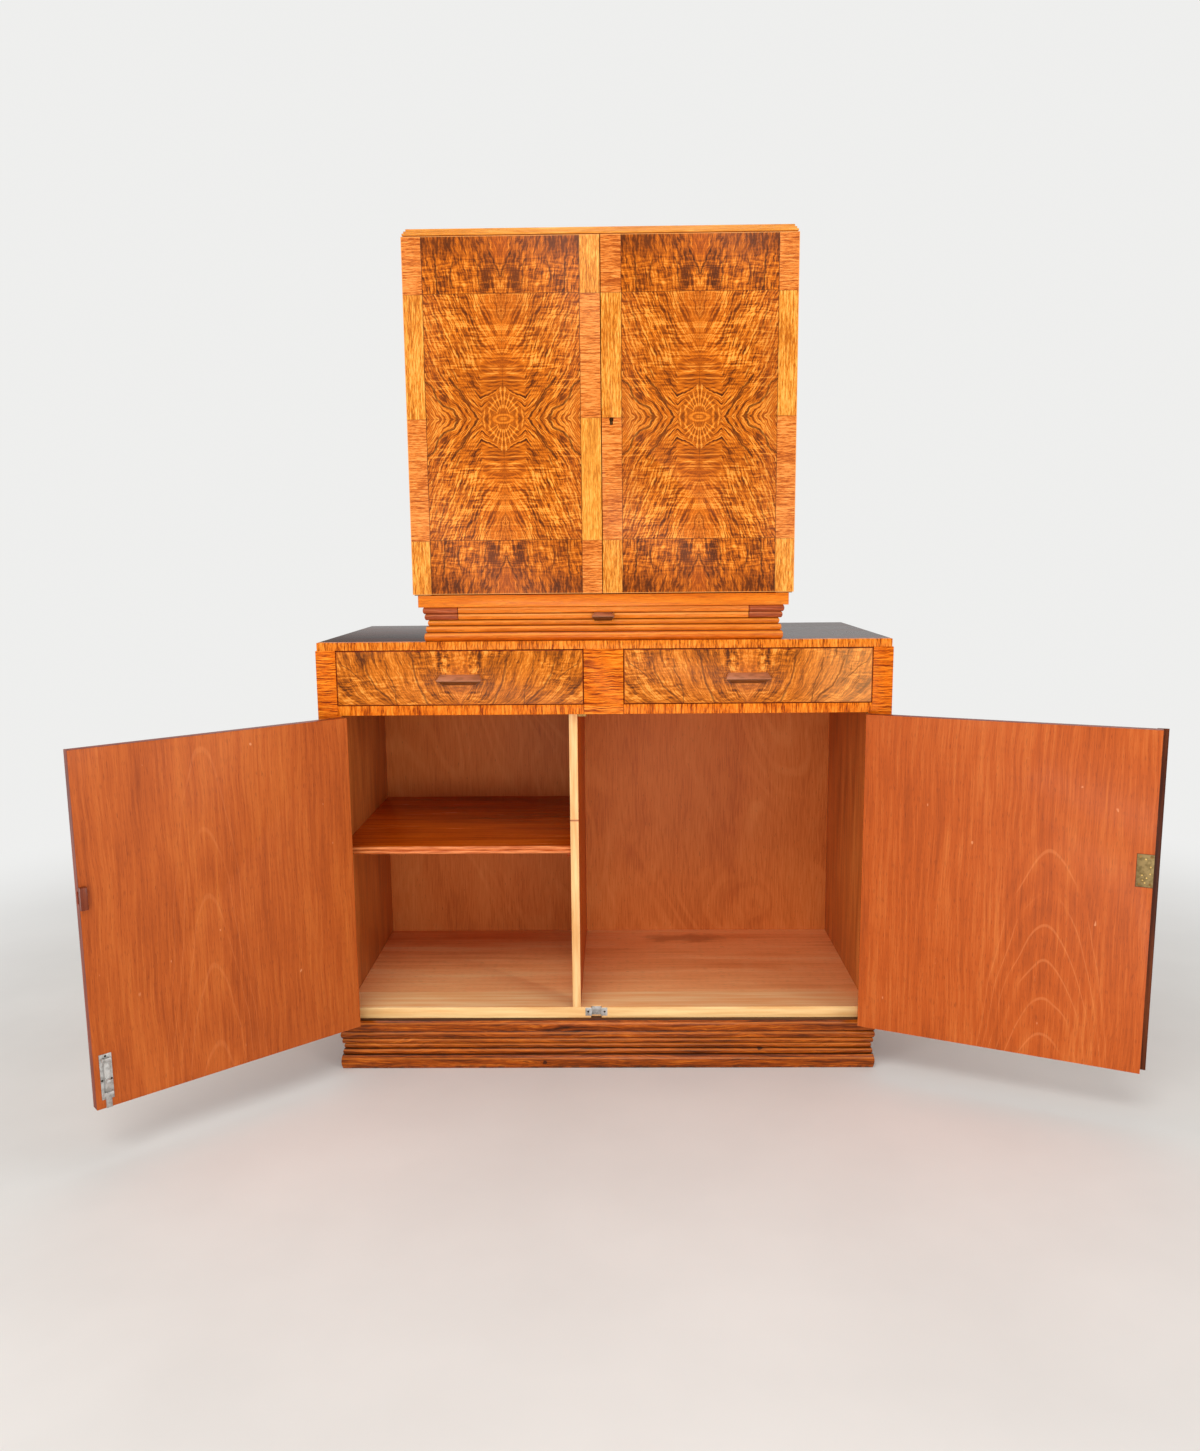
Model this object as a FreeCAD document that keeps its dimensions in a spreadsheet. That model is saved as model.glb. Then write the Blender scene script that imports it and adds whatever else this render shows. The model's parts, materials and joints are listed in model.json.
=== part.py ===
import FreeCAD, Part
import os
import re
import Sketcher

# Bar cabinet in millimetres. The origin lies on the floor at the centre of the lower cabinet.
# +X is to the right, +Y to the back, +Z up. Depths are written from the plane of the drawer
# fronts, and place_at carries them to the origin.
# The lower doors are drawn shut and carried open about their hinge pins.

sizes = [
    # lower cabinet
    ("carcass_width", 1072.6, "over the lower sides"),
    ("case_depth", 476, "front plane to the back of the lower sides"),
    ("side_thick", 25.3, "lower sides"),
    ("back_thick", 6, "plywood backs"),
    ("plinth_height", 100, "floor to the bottom board"),
    ("plinth_width", 1053, "over the widest reed of the plinth"),
    ("plinth_front", 6, "front plane to the widest reed of the plinth"),
    ("plinth_wall", 24, "walls of the plinth frame"),
    ("bearer_thick", 30, "middle bearer of the plinth frame"),
    ("floor_thick", 22, "bottom board"),
    ("door_opening", 608, "height of the lower door opening"),
    ("rail_thick", 18, "board under the drawers"),
    ("drawer_opening", 104, "height of the drawer opening"),
    ("counter_width", 1067, "counter"),
    ("counter_thick", 15, "counter"),
    ("counter_lip", 18, "depth of the cross-grained counter edge"),
    ("stile_width", 36.9, "stiles beside the drawers"),
    ("hinge_stile_width", 43.8, "stiles beside the lower doors"),
    ("centre_stile_width", 73.6, "stile between the drawers"),
    ("partition_thick", 16, "board between the drawers"),
    ("divider_thick", 16, "upright in the lower cupboard"),
    ("divider_offset", 58.5, "middle of the upright, left of centre"),
    ("shelf_height", 325.5, "top of the lower shelf above the bottom board"),
    ("shelf_thick", 15, "lower shelf"),
    ("shelf_setback", 8, "lower shelf behind the upright's front"),
    ("bead_radius", 3.6, "two beads on the shelf's front edge"),
    ("batten_wide", 8, "shelf battens"),
    ("batten_high", 10, "shelf battens"),
    ("batten_inset", 12, "battens stop short of the shelf at both ends"),
    # lower doors
    ("door_thick", 19, "all doors and drawer fronts"),
    ("door_gap", 1, "air behind a shut door"),
    ("door_air", 1, "air above and below a lower door"),
    ("hinge_air", 2, "stile to door edge, filled by the hinge"),
    ("meeting_air", 1.6, "air between a pair of doors"),
    ("leaf_thick", 0.95, "hinge leaves"),
    ("leaf_width", 14, "hinge leaves"),
    ("knuckle_radius", 3, "hinge knuckles"),
    ("knuckle_air", 0.3, "knuckles in front of the wood and the other leaf"),
    ("knuckle_space", 0.4, "between neighbouring knuckles"),
    ("hinge_pin_radius", 1.2, "hinge pin"),
    ("pin_air", 0.05, "pins in their bores"),
    ("strip_width", 18, "cover strip on the lower right door"),
    ("strip_over", 8.5, "cover strip laps the left door"),
    ("strip_thick", 5, "cover strip"),
    ("strip_air", 0.4, "cover strip in front of the left door"),
    ("block_wide", 11.2, "strike block on the lower left door"),
    ("block_high", 38, "strike block"),
    ("block_thick", 8, "strike block"),
    # locks
    ("lower_lock_rise", 364, "lock centre above the foot of the lower door"),
    ("upper_lock_rise", 309.5, "lock centre above the foot of the upper door"),
    ("lock_wide", 26.5, "lock plate"),
    ("lock_high", 57, "lock plate"),
    ("lock_plate_thick", 2, "lock plate and its edge"),
    ("lock_edge_deep", 14, "lock edge across the door"),
    ("lock_case_wide", 24, "lock case"),
    ("lock_case_high", 50, "lock case"),
    ("lock_case_deep", 11, "lock case"),
    ("lock_bolt_high", 19, "lock bolt"),
    ("lock_bolt_thick", 4, "lock bolt"),
    ("lock_bolt_long", 15, "lock bolt"),
    ("lock_bolt_rest", 0.8, "bolt inside the lock's edge at rest"),
    ("lock_bolt_in", 5.5, "bolt in front of the door's inner face"),
    ("lock_bolt_air", 0.3, "round the lock bolt"),
    ("strike_deep", 11, "bolt pocket in the left doors"),
    ("strike_air", 1.2, "round the bolt in its pocket"),
    ("key_inset", 18, "keyhole from the meeting line"),
    ("key_radius", 2.3, "round part of the keyhole"),
    ("key_slot_wide", 2.4, "slot of the keyhole"),
    ("key_slot_high", 7.6, "slot of the keyhole"),
    ("key_rim", 1.5, "brass rim of the keyhole"),
    ("key_rim_deep", 3, "brass rim of the keyhole"),
    # slide bolt on the lower left door
    ("bolt_inset", 20, "bolt from the meeting line"),
    ("bolt_plate_wide", 20, "bolt plate"),
    ("bolt_plate_high", 79, "bolt plate"),
    ("bolt_plate_rise", 15, "bolt plate above the foot of the door"),
    ("bolt_plate_thick", 1.5, "bolt plate, let in flush"),
    ("rod_wide", 9, "bolt"),
    ("rod_thick", 4.5, "bolt"),
    ("rod_rise", 1.5, "shot bolt above the foot of the door"),
    ("rod_long", 84, "bolt"),
    ("rod_air", 0.35, "round the bolt"),
    ("staple_wide", 15, "staples over the bolt"),
    ("staple_high", 6, "staples over the bolt"),
    ("staple_wall", 1.2, "staples over the bolt"),
    ("staple_low", 8, "lower staple above the foot of the plate"),
    ("staple_top", 6, "upper staple below the head of the plate"),
    ("knob_radius", 3.6, "bolt knob"),
    ("knob_long", 9, "bolt knob"),
    ("knob_rise", 48, "bolt knob above the foot of the bolt"),
    ("keep_wide", 43.2, "bolt keep"),
    ("keep_high", 16.7, "bolt keep"),
    ("keep_rise", 4, "bolt keep above the bottom board's underside"),
    ("keep_thick", 1.5, "bolt keep"),
    ("keep_mouth", 18, "mouth of the keep"),
    ("keep_deep", 8, "pocket of the keep"),
    # drawers
    ("drawer_air", 1.2, "round a drawer front"),
    ("drawer_side_thick", 10, "drawer box"),
    ("drawer_box_inset", 2, "drawer box inside its front's end"),
    ("drawer_box_high", 84, "drawer box"),
    ("drawer_box_rise", 0.4, "drawer box above its opening's foot"),
    ("drawer_bottom_thick", 5, "drawer bottom"),
    ("drawer_bottom_rise", 6, "drawer bottom above the box's foot"),
    ("drawer_long", 430, "drawer, front plane to the back of its box"),
    ("pull_wide", 84, "drawer handle"),
    ("pull_high", 19, "drawer handle"),
    ("pull_reach", 20, "drawer handle"),
    ("pull_ridge", 9.4, "height of the handle's ridge"),
    ("pull_nose", 1.6, "blunt front of the handle's ridge"),
    ("pull_root", 6, "underside of the handle at the drawer front"),
    ("pull_top_cut", 2, "handle's ends lean in above the ridge"),
    ("pull_foot_cut", 12, "handle's ends lean in below the ridge"),
    ("pull_rise", 37.8, "foot of the handle above the drawer front's foot"),
    # stand and serving slide
    ("upper_reach", 350, "middle to the outer edge of an upper door"),
    ("reed_sag", 2.4, "roundness of the stand's reeds"),
    ("reed_five", 16, "lowest reed"),
    ("reed_four", 12.3, "fourth reed"),
    ("reed_three", 11.2, "third reed"),
    ("reed_two", 11.5, "second reed"),
    ("reed_one", 12.5, "highest reed"),
    ("reed_five_back", 15.7, "lowest reed behind the upper doors"),
    ("reed_four_back", 18.5, "fourth reed"),
    ("reed_three_back", 22, "third reed"),
    ("reed_two_back", 17, "second reed"),
    ("reed_one_back", 14.3, "highest reed"),
    ("stand_side_wall", 100, "side walls of the stand frame"),
    ("stand_front_wall", 60, "front plane to the inside of the stand frame"),
    ("stand_back_wall", 40, "back wall of the stand frame"),
    ("guide_wide", 79, "slide guides"),
    ("upper_depth", 470, "front plane to the back of the upper cabinet"),
    ("slide_side_air", 1.2, "slide to its guides"),
    ("slide_air", 0.4, "below and above the slide"),
    ("slide_board_thick", 18, "serving slide"),
    ("slide_front_deep", 16, "reeded front of the slide"),
    ("slide_long", 440, "front plane to the back of the slide"),
    ("tab_wide", 42, "slide handle"),
    ("tab_high", 16, "slide handle"),
    ("tab_reach", 19, "slide handle"),
    ("tab_ridge", 9, "height of the slide handle's ridge"),
    ("tab_drop", 3.6, "slide handle hangs below the slide"),
    ("tab_root", 5, "underside of the slide handle"),
    ("tab_foot_cut", 5, "ends of the slide handle lean in"),
    # upper cabinet
    ("under_thick", 22, "board under the upper cabinet"),
    ("under_back", 7.5, "board under the upper cabinet behind the doors"),
    ("upper_door_lap", 3, "upper doors over the outside of the upper sides"),
    ("upper_side_thick", 18, "upper sides"),
    ("upper_board_thick", 16, "upper top and bottom"),
    ("upper_case_high", 629, "upper sides"),
    ("upper_shelf_rise", 300, "upper shelf above the upper bottom"),
    ("upper_shelf_thick", 14, "upper shelf"),
    ("upper_shelf_inset", 14, "upper shelf behind the sides' front"),
    ("pivot_inset", 6, "pivot from the door's edge and inner face"),
    ("pivot_radius", 2.5, "pivot pins"),
    ("pivot_plate_long", 30, "pivot plates"),
    ("pivot_plate_wide", 9, "pivot plates"),
    ("pivot_plate_thick", 1.5, "pivot plates"),
    ("pivot_pin_long", 12, "pivot pins"),
    ("pivot_over", 4.5, "pivot plate beyond its pin"),
    ("pivot_air", 0.5, "door above its pivot plate"),
    ("cornice_low", 3.8, "lowest step of the cornice"),
    ("cornice_mid", 4.2, "middle step of the cornice"),
    ("cornice_top", 4.5, "highest step of the cornice"),
    ("cornice_low_back", 1.5, "lowest step behind the doors"),
    ("cornice_mid_back", 4.3, "middle step behind the doors"),
    ("cornice_top_back", 7.5, "highest step behind the doors"),
    # plinth reeds from the top down
    ("plinth_sag", 2.6, "roundness of the plinth's reeds"),
    ("plinth_one", 23, "highest band of the plinth"),
    ("plinth_two", 15, "second band"),
    ("plinth_three", 11, "third band"),
    ("plinth_four", 11, "fourth band"),
    ("plinth_five", 12, "fifth band"),
    ("plinth_six", 28, "lowest band"),
    ("plinth_one_back", 0.2, "highest band behind the widest line"),
    ("plinth_two_back", 1.4, "second band"),
    ("plinth_three_back", 3.6, "third band"),
    ("plinth_four_back", 6.6, "fourth band"),
    ("plinth_five_back", 4.4, "fifth band"),
    ("plinth_six_back", 0.6, "lowest band"),
    # one overrun serves every cut
    ("overrun", 5, "cutting tools beyond the wood"),
]

angles = [
    ("angle_left_door", 137.8, "lower left door in the drawn pose, degrees"),
    ("angle_right_door", 155.8, "lower right door in the drawn pose, degrees"),
]

derived = [
    ("origin_y", "case_depth / 2"),
    ("front_zone", "door_thick + door_gap"),
    ("carcass_half", "carcass_width / 2"),
    ("inner_half", "carcass_half - side_thick"),
    ("back_face", "case_depth - back_thick"),
    ("stile_inner", "carcass_half - stile_width"),
    ("hinge_stile_inner", "carcass_half - hinge_stile_width"),
    ("floor_top", "plinth_height + floor_thick"),
    ("rail_foot", "plinth_height + door_opening"),
    ("drawer_foot", "rail_foot + rail_thick"),
    ("counter_foot", "drawer_foot + drawer_opening"),
    ("counter_top", "counter_foot + counter_thick"),
    ("divider_left", "-divider_offset - divider_thick / 2"),
    ("divider_right", "-divider_offset + divider_thick / 2"),
    ("shelf_top", "floor_top + shelf_height"),
    ("shelf_foot", "shelf_top - shelf_thick"),
    ("door_foot", "plinth_height + door_air"),
    ("door_head", "rail_foot - door_air"),
    ("door_outer", "hinge_stile_inner - hinge_air"),
    ("door_inner", "meeting_air / 2"),
    ("hinge_x", "hinge_stile_inner - hinge_air / 2"),
    ("hinge_y", "-knuckle_radius - knuckle_air"),
    ("stand_top", "counter_top + reed_five + reed_four + reed_three"),
    ("guide_top", "stand_top + reed_two + reed_one"),
    ("upper_foot", "guide_top + under_thick"),
    ("upper_head", "upper_foot + upper_case_high"),
    ("upper_door_foot", "upper_foot + pivot_plate_thick + pivot_air"),
    ("upper_door_head", "upper_head - pivot_plate_thick - pivot_air"),
    ("stand_hole", "upper_reach - stand_side_wall"),
    ("guide_inner", "upper_reach - guide_wide"),
    ("upper_half", "upper_reach - upper_door_lap"),
    ("upper_inner", "upper_half - upper_side_thick"),
    ("pivot_x", "upper_reach - pivot_inset"),
    ("pivot_y", "door_thick - pivot_inset"),
    ("slide_half", "guide_inner - slide_side_air"),
    ("slide_foot", "stand_top + slide_air"),
    ("slide_reed_two", "reed_two - slide_air"),
    ("slide_reed_one", "reed_one - slide_air"),
    ("bolt_x", "-bolt_inset"),
    ("rod_foot", "door_foot + rod_rise"),
    ("rod_face", "door_thick + rod_air"),
    ("lower_lock_z", "door_foot + lower_lock_rise"),
    ("upper_lock_z", "upper_door_foot + upper_lock_rise"),
    ("drawer_near", "centre_stile_width / 2 + drawer_air"),
    ("drawer_far", "stile_inner - drawer_air"),
    ("drawer_middle", "(drawer_near + drawer_far) / 2"),
    ("drawer_front_foot", "drawer_foot + drawer_air"),
    ("drawer_front_head", "counter_foot - drawer_air"),
    ("box_foot", "drawer_foot + drawer_box_rise"),
    ("box_head", "box_foot + drawer_box_high"),
    ("box_near", "drawer_near + drawer_box_inset"),
    ("box_far", "drawer_far - drawer_box_inset"),
    ("bottom_foot", "box_foot + drawer_bottom_rise"),
    ("bottom_head", "bottom_foot + drawer_bottom_thick"),
]

# reeds as (height, setback), from the bottom up
plinth_reeds = [
    ("plinth_six", "plinth_six_back"),
    ("plinth_five", "plinth_five_back"),
    ("plinth_four", "plinth_four_back"),
    ("plinth_three", "plinth_three_back"),
    ("plinth_two", "plinth_two_back"),
    ("plinth_one", "plinth_one_back"),
]
stand_reeds = [
    ("reed_five", "reed_five_back"),
    ("reed_four", "reed_four_back"),
    ("reed_three", "reed_three_back"),
]
guide_reeds = [
    ("reed_two", "reed_two_back"),
    ("reed_one", "reed_one_back"),
]
slide_reeds = [
    ("slide_reed_two", "reed_two_back"),
    ("slide_reed_one", "reed_one_back"),
]
cornice_steps = [
    ("cornice_low", "cornice_low_back"),
    ("cornice_mid", "cornice_mid_back"),
    ("cornice_top", "cornice_top_back"),
]

knuckle_total = 12
left, right = -1, 1

doc = FreeCAD.newDocument("BarCabinet")
sheet = doc.addObject("Spreadsheet::Sheet", "Sizes")
names = {row[0] for row in sizes + angles + derived}
parts = []


def bind(text):
    """Point every size name in an expression at the sheet."""
    return re.sub(r"[a-z][a-z_]*", lambda m: "Sizes." + m.group() if m.group() in names else m.group(), text)


def fill_sheet():
    row = 1
    for name, amount, note in sizes + angles:
        sheet.set(f"A{row}", note)
        sheet.set(f"B{row}", str(amount))
        sheet.setAlias(f"B{row}", name)
        row += 1
    for name, formula in derived:
        sheet.set(f"A{row}", name.replace("_", " "))
        sheet.set(f"B{row}", "=" + formula)
        sheet.setAlias(f"B{row}", name)
        row += 1
    doc.recompute()


def value(text):
    """Present value of an expression in the sheet's names."""
    return float(sheet.evalExpression(text))


def place(x, y, z, axis="0; 0; 1", angle="0"):
    return f"placement(vector({x}; {y}; {z}); rotation(vector({axis}); {angle}))"


def place_at(x, y, z, axis="0; 0; 1", angle="0"):
    """Placement whose depth is written from the front plane."""
    return place(x, f"({y}) - origin_y", z, axis, angle)


def swing(x, y, angle):
    """Turn about the upright line through x, y."""
    return place_at(x, y, "0", angle=angle) + " * " + place(f"-({x})", f"origin_y - ({y})", "0")


frames = {
    "left_door": swing("-hinge_x", "hinge_y", "-angle_left_door"),
    "right_door": swing("hinge_x", "hinge_y", "angle_right_door"),
}


def set_place(item, local, frame):
    text = frames[frame] + " * " + local if frame else local
    item.setExpression("Placement", bind(text))


def slab(name, x0, x1, y0, y1, z0, z1, frame=None):
    item = doc.addObject("Part::Box", name)
    item.setExpression("Length", bind(f"({x1}) - ({x0})"))
    item.setExpression("Width", bind(f"({y1}) - ({y0})"))
    item.setExpression("Height", bind(f"({z1}) - ({z0})"))
    set_place(item, place_at(x0, y0, z0), frame)
    return item


def rod(name, length, radius, local, frame=None):
    item = doc.addObject("Part::Cylinder", name)
    item.setExpression("Radius", bind(radius))
    item.setExpression("Height", bind(length))
    set_place(item, local, frame)
    return item


def upright(name, x, y, z0, z1, radius):
    return rod(name, f"({z1}) - ({z0})", radius, place_at(x, y, z0))


def level(name, x0, x1, y, z, radius):
    """Cylinder along X."""
    return rod(name, f"({x1}) - ({x0})", radius, place_at(x0, y, z, "0; 1; 0", "90"))


def deep(name, x, y0, y1, z, radius):
    """Cylinder along Y."""
    return rod(name, f"({y1}) - ({y0})", radius, place_at(x, y0, z, "1; 0; 0", "-90"))


def fuse(name, items, frame=None):
    item = doc.addObject("Part::MultiFuse", name)
    item.Shapes = items
    item.Refine = True
    if frame:
        item.setExpression("Placement", bind(frames[frame]))
    return item


def common(name, items):
    item = doc.addObject("Part::MultiCommon", name)
    item.Shapes = items
    return item


def cut(name, base, tools, frame=None):
    item = doc.addObject("Part::Cut", name)
    item.Base = base
    item.Tool = tools[0] if len(tools) == 1 else fuse(name + "_tools", tools)
    item.Refine = True
    if frame:
        item.setExpression("Placement", bind(frames[frame]))
    return item


def keep(label, item):
    item.Label = label
    parts.append((label, item))
    return item


def on_side(side, near, far):
    """Span from near to far of the middle, on one side."""
    if side == right:
        return near, far
    return f"-({far})", f"-({near})"


def side_name(side):
    return "right" if side == right else "left"


def at_side(side, text):
    return text if side == right else f"-({text})"


def new_sketch(body, name, role):
    sketch = body.newObject("Sketcher::SketchObject", name)
    plane = [item for item in body.Origin.OriginFeatures if item.Role == role][0]
    sketch.AttachmentSupport = [(plane, "")]
    sketch.MapMode = "FlatFace"
    return sketch


def pin_point(sketch, edge, end, x, y):
    """Bind one end of an edge to sheet expressions measured from the sketch origin."""
    if x == "0":
        sketch.addConstraint(Sketcher.Constraint("PointOnObject", edge, end, -2))
    else:
        index = sketch.addConstraint(Sketcher.Constraint("DistanceX", -1, 1, edge, end, value(x)))
        sketch.setExpression(f"Constraints[{index}]", bind(x))
    if y == "0":
        sketch.addConstraint(Sketcher.Constraint("PointOnObject", edge, end, -1))
    else:
        index = sketch.addConstraint(Sketcher.Constraint("DistanceY", -1, 1, edge, end, value(y)))
        sketch.setExpression(f"Constraints[{index}]", bind(y))


def point(x, y):
    return FreeCAD.Vector(value(x), value(y), 0)


def polygon_body(name, role, points, length, local):
    """Closed outline padded both ways from one of the body's planes."""
    body = doc.addObject("PartDesign::Body", name)
    sketch = new_sketch(body, name + "_outline", role)
    count = len(points)
    for index in range(count):
        start = points[index]
        end = points[(index + 1) % count]
        sketch.addGeometry(Part.LineSegment(point(*start), point(*end)))
    for index in range(count):
        following = (index + 1) % count
        sketch.addConstraint(Sketcher.Constraint("Coincident", index, 2, following, 1))
        pin_point(sketch, index, 1, *points[index])
    pad_both_ways(body, sketch, name, length)
    body.setExpression("Placement", bind(local))
    return body


def pad_both_ways(body, sketch, name, length):
    pad = body.newObject("PartDesign::Pad", name + "_pad")
    pad.Profile = sketch
    pad.Midplane = True
    pad.setExpression("Length", bind(length))
    sketch.Visibility = False


def reed_body(name, reeds, sag, reach, length, local):
    """Board along local X whose far local Y edge carries convex reeds, one above another."""
    body = doc.addObject("PartDesign::Body", name)
    sketch = new_sketch(body, name + "_reeds", "YZ_Plane")
    foot = "0"
    spots = []
    for high, back in reeds:
        head = high if foot == "0" else f"{foot} + {high}"
        chord = f"{reach} - {back} - {sag}"
        spots.append((chord, foot, head, high, back))
        foot = head
    arcs = []
    for chord, foot, head, high, back in spots:
        bulge = point(f"{reach} - {back}", f"({head}) - {high} / 2")
        arc = sketch.addGeometry(Part.Arc(point(chord, foot), bulge, point(chord, head)))
        pin_point(sketch, arc, 1, chord, foot)
        pin_point(sketch, arc, 2, chord, head)
        radius = f"({high} * {high} / 4 + {sag} * {sag}) / (2 * {sag})"
        index = sketch.addConstraint(Sketcher.Constraint("Radius", arc, value(radius)))
        sketch.setExpression(f"Constraints[{index}]", bind(radius))
        arcs.append(arc)
    for lower, upper in zip(arcs, arcs[1:]):
        ends = sketch.Geometry[lower].EndPoint, sketch.Geometry[upper].StartPoint
        step = sketch.addGeometry(Part.LineSegment(*ends))
        sketch.addConstraint(Sketcher.Constraint("Coincident", lower, 2, step, 1))
        sketch.addConstraint(Sketcher.Constraint("Coincident", step, 2, upper, 1))
    total = spots[-1][2]
    corners = [point(spots[-1][0], total), point("0", total), point("0", "0"), point(spots[0][0], "0")]
    top = sketch.addGeometry(Part.LineSegment(corners[0], corners[1]))
    back = sketch.addGeometry(Part.LineSegment(corners[1], corners[2]))
    base = sketch.addGeometry(Part.LineSegment(corners[2], corners[3]))
    sketch.addConstraint(Sketcher.Constraint("Coincident", arcs[-1], 2, top, 1))
    sketch.addConstraint(Sketcher.Constraint("Coincident", top, 2, back, 1))
    sketch.addConstraint(Sketcher.Constraint("Coincident", back, 2, base, 1))
    sketch.addConstraint(Sketcher.Constraint("Coincident", base, 2, arcs[0], 1))
    sketch.addConstraint(Sketcher.Constraint("Horizontal", top))
    sketch.addConstraint(Sketcher.Constraint("PointOnObject", back, 1, -2))
    sketch.addConstraint(Sketcher.Constraint("Coincident", back, 2, -1, 1))
    pad_both_ways(body, sketch, name, length)
    body.setExpression("Placement", bind(local))
    return body


def reeded_block(name, reeds, sag, sides, near, far, front, back, foot):
    """Board with reeds on its front and on the named sides, meeting in mitres.

    near and far are the distances of its ends from the middle; a board that crosses
    the middle gives the same distance on both sides.
    """
    faces = []
    deep_way = f"({back}) - ({front})"
    if len(sides) == 2:
        x0, x1 = f"-({far})", far
    else:
        x0, x1 = on_side(sides[0], near, far)
    wide_way = f"({x1}) - ({x0})"
    middle_x = f"(({x0}) + ({x1})) / 2"
    middle_y = f"(({front}) + ({back})) / 2"
    local = place_at(middle_x, back, foot, angle="180")
    faces.append(reed_body(name + "_front", reeds, sag, deep_way, wide_way, local))
    for side in sides:
        start = x0 if side == right else x1
        angle = "-90" if side == right else "90"
        local = place_at(start, middle_y, foot, angle=angle)
        faces.append(reed_body(f"{name}_{side_name(side)}", reeds, sag, wide_way, deep_way, local))
    return common(name, faces)


def make_plinth():
    block = reeded_block("plinth_block", plinth_reeds, "plinth_sag", [left, right], None,
                         "plinth_width / 2", "plinth_front", "back_face", "0")
    holes = []
    for side in (left, right):
        holes.append(slab(f"plinth_hole_{side_name(side)}",
                          *on_side(side, "bearer_thick / 2", "plinth_width / 2 - plinth_wall"),
                          "plinth_front + plinth_wall", "back_face - plinth_wall",
                          "-overrun", "plinth_height + overrun"))
    keep("plinth", cut("plinth_cut", block, holes))


def make_bottom_board():
    board = slab("bottom_board_blank", "-inner_half", "inner_half", "front_zone", "back_face",
                 "plinth_height", "floor_top")
    mouth = slab("keep_notch", "bolt_x - keep_mouth / 2 - keep_thick", "bolt_x + keep_mouth / 2 + keep_thick",
                 "front_zone - overrun", "front_zone + keep_deep", "plinth_height - overrun", "floor_top + overrun")
    seat = slab("keep_seat", "bolt_x - keep_wide / 2", "bolt_x + keep_wide / 2",
                "front_zone - overrun", "front_zone + keep_thick",
                "plinth_height + keep_rise", "plinth_height + keep_rise + keep_high")
    keep("bottom_board", cut("bottom_board_cut", board, [mouth, seat]))


def make_bolt_keep():
    foot = "plinth_height + keep_rise"
    head = foot + " + keep_high"
    plate = slab("keep_plate", "bolt_x - keep_wide / 2", "bolt_x + keep_wide / 2",
                 "front_zone", "front_zone + keep_thick", foot, head)
    pocket = slab("keep_pocket", "bolt_x - keep_mouth / 2 - keep_thick", "bolt_x + keep_mouth / 2 + keep_thick",
                  "front_zone", "front_zone + keep_deep", foot, head)
    mouth = slab("keep_opening", "bolt_x - keep_mouth / 2", "bolt_x + keep_mouth / 2",
                 "front_zone - overrun", "front_zone + keep_deep - keep_thick",
                 "plinth_height - overrun", "floor_top + overrun")
    keep("bolt_keep", cut("keep_cut", fuse("keep_blank", [plate, pocket]), [mouth]))


def make_carcass():
    for side in (left, right):
        word = side_name(side)
        keep(f"side_{word}", slab(f"side_{word}_box", *on_side(side, "inner_half", "carcass_half"),
                                  "front_zone", "case_depth", "plinth_height", "counter_foot"))
        lower = slab(f"stile_{word}_lower", *on_side(side, "hinge_stile_inner", "carcass_half"),
                     "0", "front_zone", "plinth_height", "rail_foot")
        upper = slab(f"stile_{word}_upper", *on_side(side, "stile_inner", "carcass_half"),
                     "0", "front_zone", "rail_foot", "counter_foot")
        keep(f"stile_{word}", fuse(f"stile_{word}_fuse", [lower, upper]))
    front = slab("drawer_board_front", "-stile_inner", "stile_inner", "0", "front_zone", "rail_foot", "drawer_foot")
    board = slab("drawer_board_rear", "-inner_half", "inner_half", "front_zone", "back_face",
                 "rail_foot", "drawer_foot")
    keep("drawer_board", fuse("drawer_board_fuse", [front, board]))
    keep("stile_centre", slab("stile_centre_box", "-centre_stile_width / 2", "centre_stile_width / 2",
                              "0", "front_zone", "drawer_foot", "counter_foot"))
    keep("drawer_partition", slab("drawer_partition_box", "-partition_thick / 2", "partition_thick / 2",
                                  "front_zone", "back_face", "drawer_foot", "counter_foot"))
    keep("divider", slab("divider_box", "divider_left", "divider_right",
                         "front_zone", "back_face", "floor_top", "rail_foot"))
    keep("lower_back", slab("lower_back_box", "-inner_half", "inner_half", "back_face", "case_depth",
                            "plinth_height", "counter_foot"))


def make_counter():
    ends = ("-counter_width / 2", "counter_width / 2")
    keep("counter_edge", slab("counter_edge_box", *ends, "0", "counter_lip", "counter_foot", "counter_top"))
    keep("counter_board", slab("counter_board_box", *ends, "counter_lip", "case_depth",
                               "counter_foot", "counter_top"))


def make_shelf():
    front = "front_zone + shelf_setback"
    board = slab("shelf_board", "-inner_half", "divider_left", front, "back_face", "shelf_foot", "shelf_top")
    beads = []
    for word, height in (("low", "shelf_foot + bead_radius"), ("high", "shelf_top - bead_radius")):
        beads.append(level(f"shelf_bead_{word}", "-inner_half", "divider_left", front, height, "bead_radius"))
    keep("shelf", fuse("shelf_fuse", [board] + beads))
    spans = {"left": ("-inner_half", "-inner_half + batten_wide"),
             "right": ("divider_left - batten_wide", "divider_left")}
    for word, span in spans.items():
        keep(f"shelf_batten_{word}", slab(f"batten_{word}_box", *span, front + " + batten_inset",
                                          "back_face - batten_inset", "shelf_foot - batten_high", "shelf_foot"))


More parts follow.
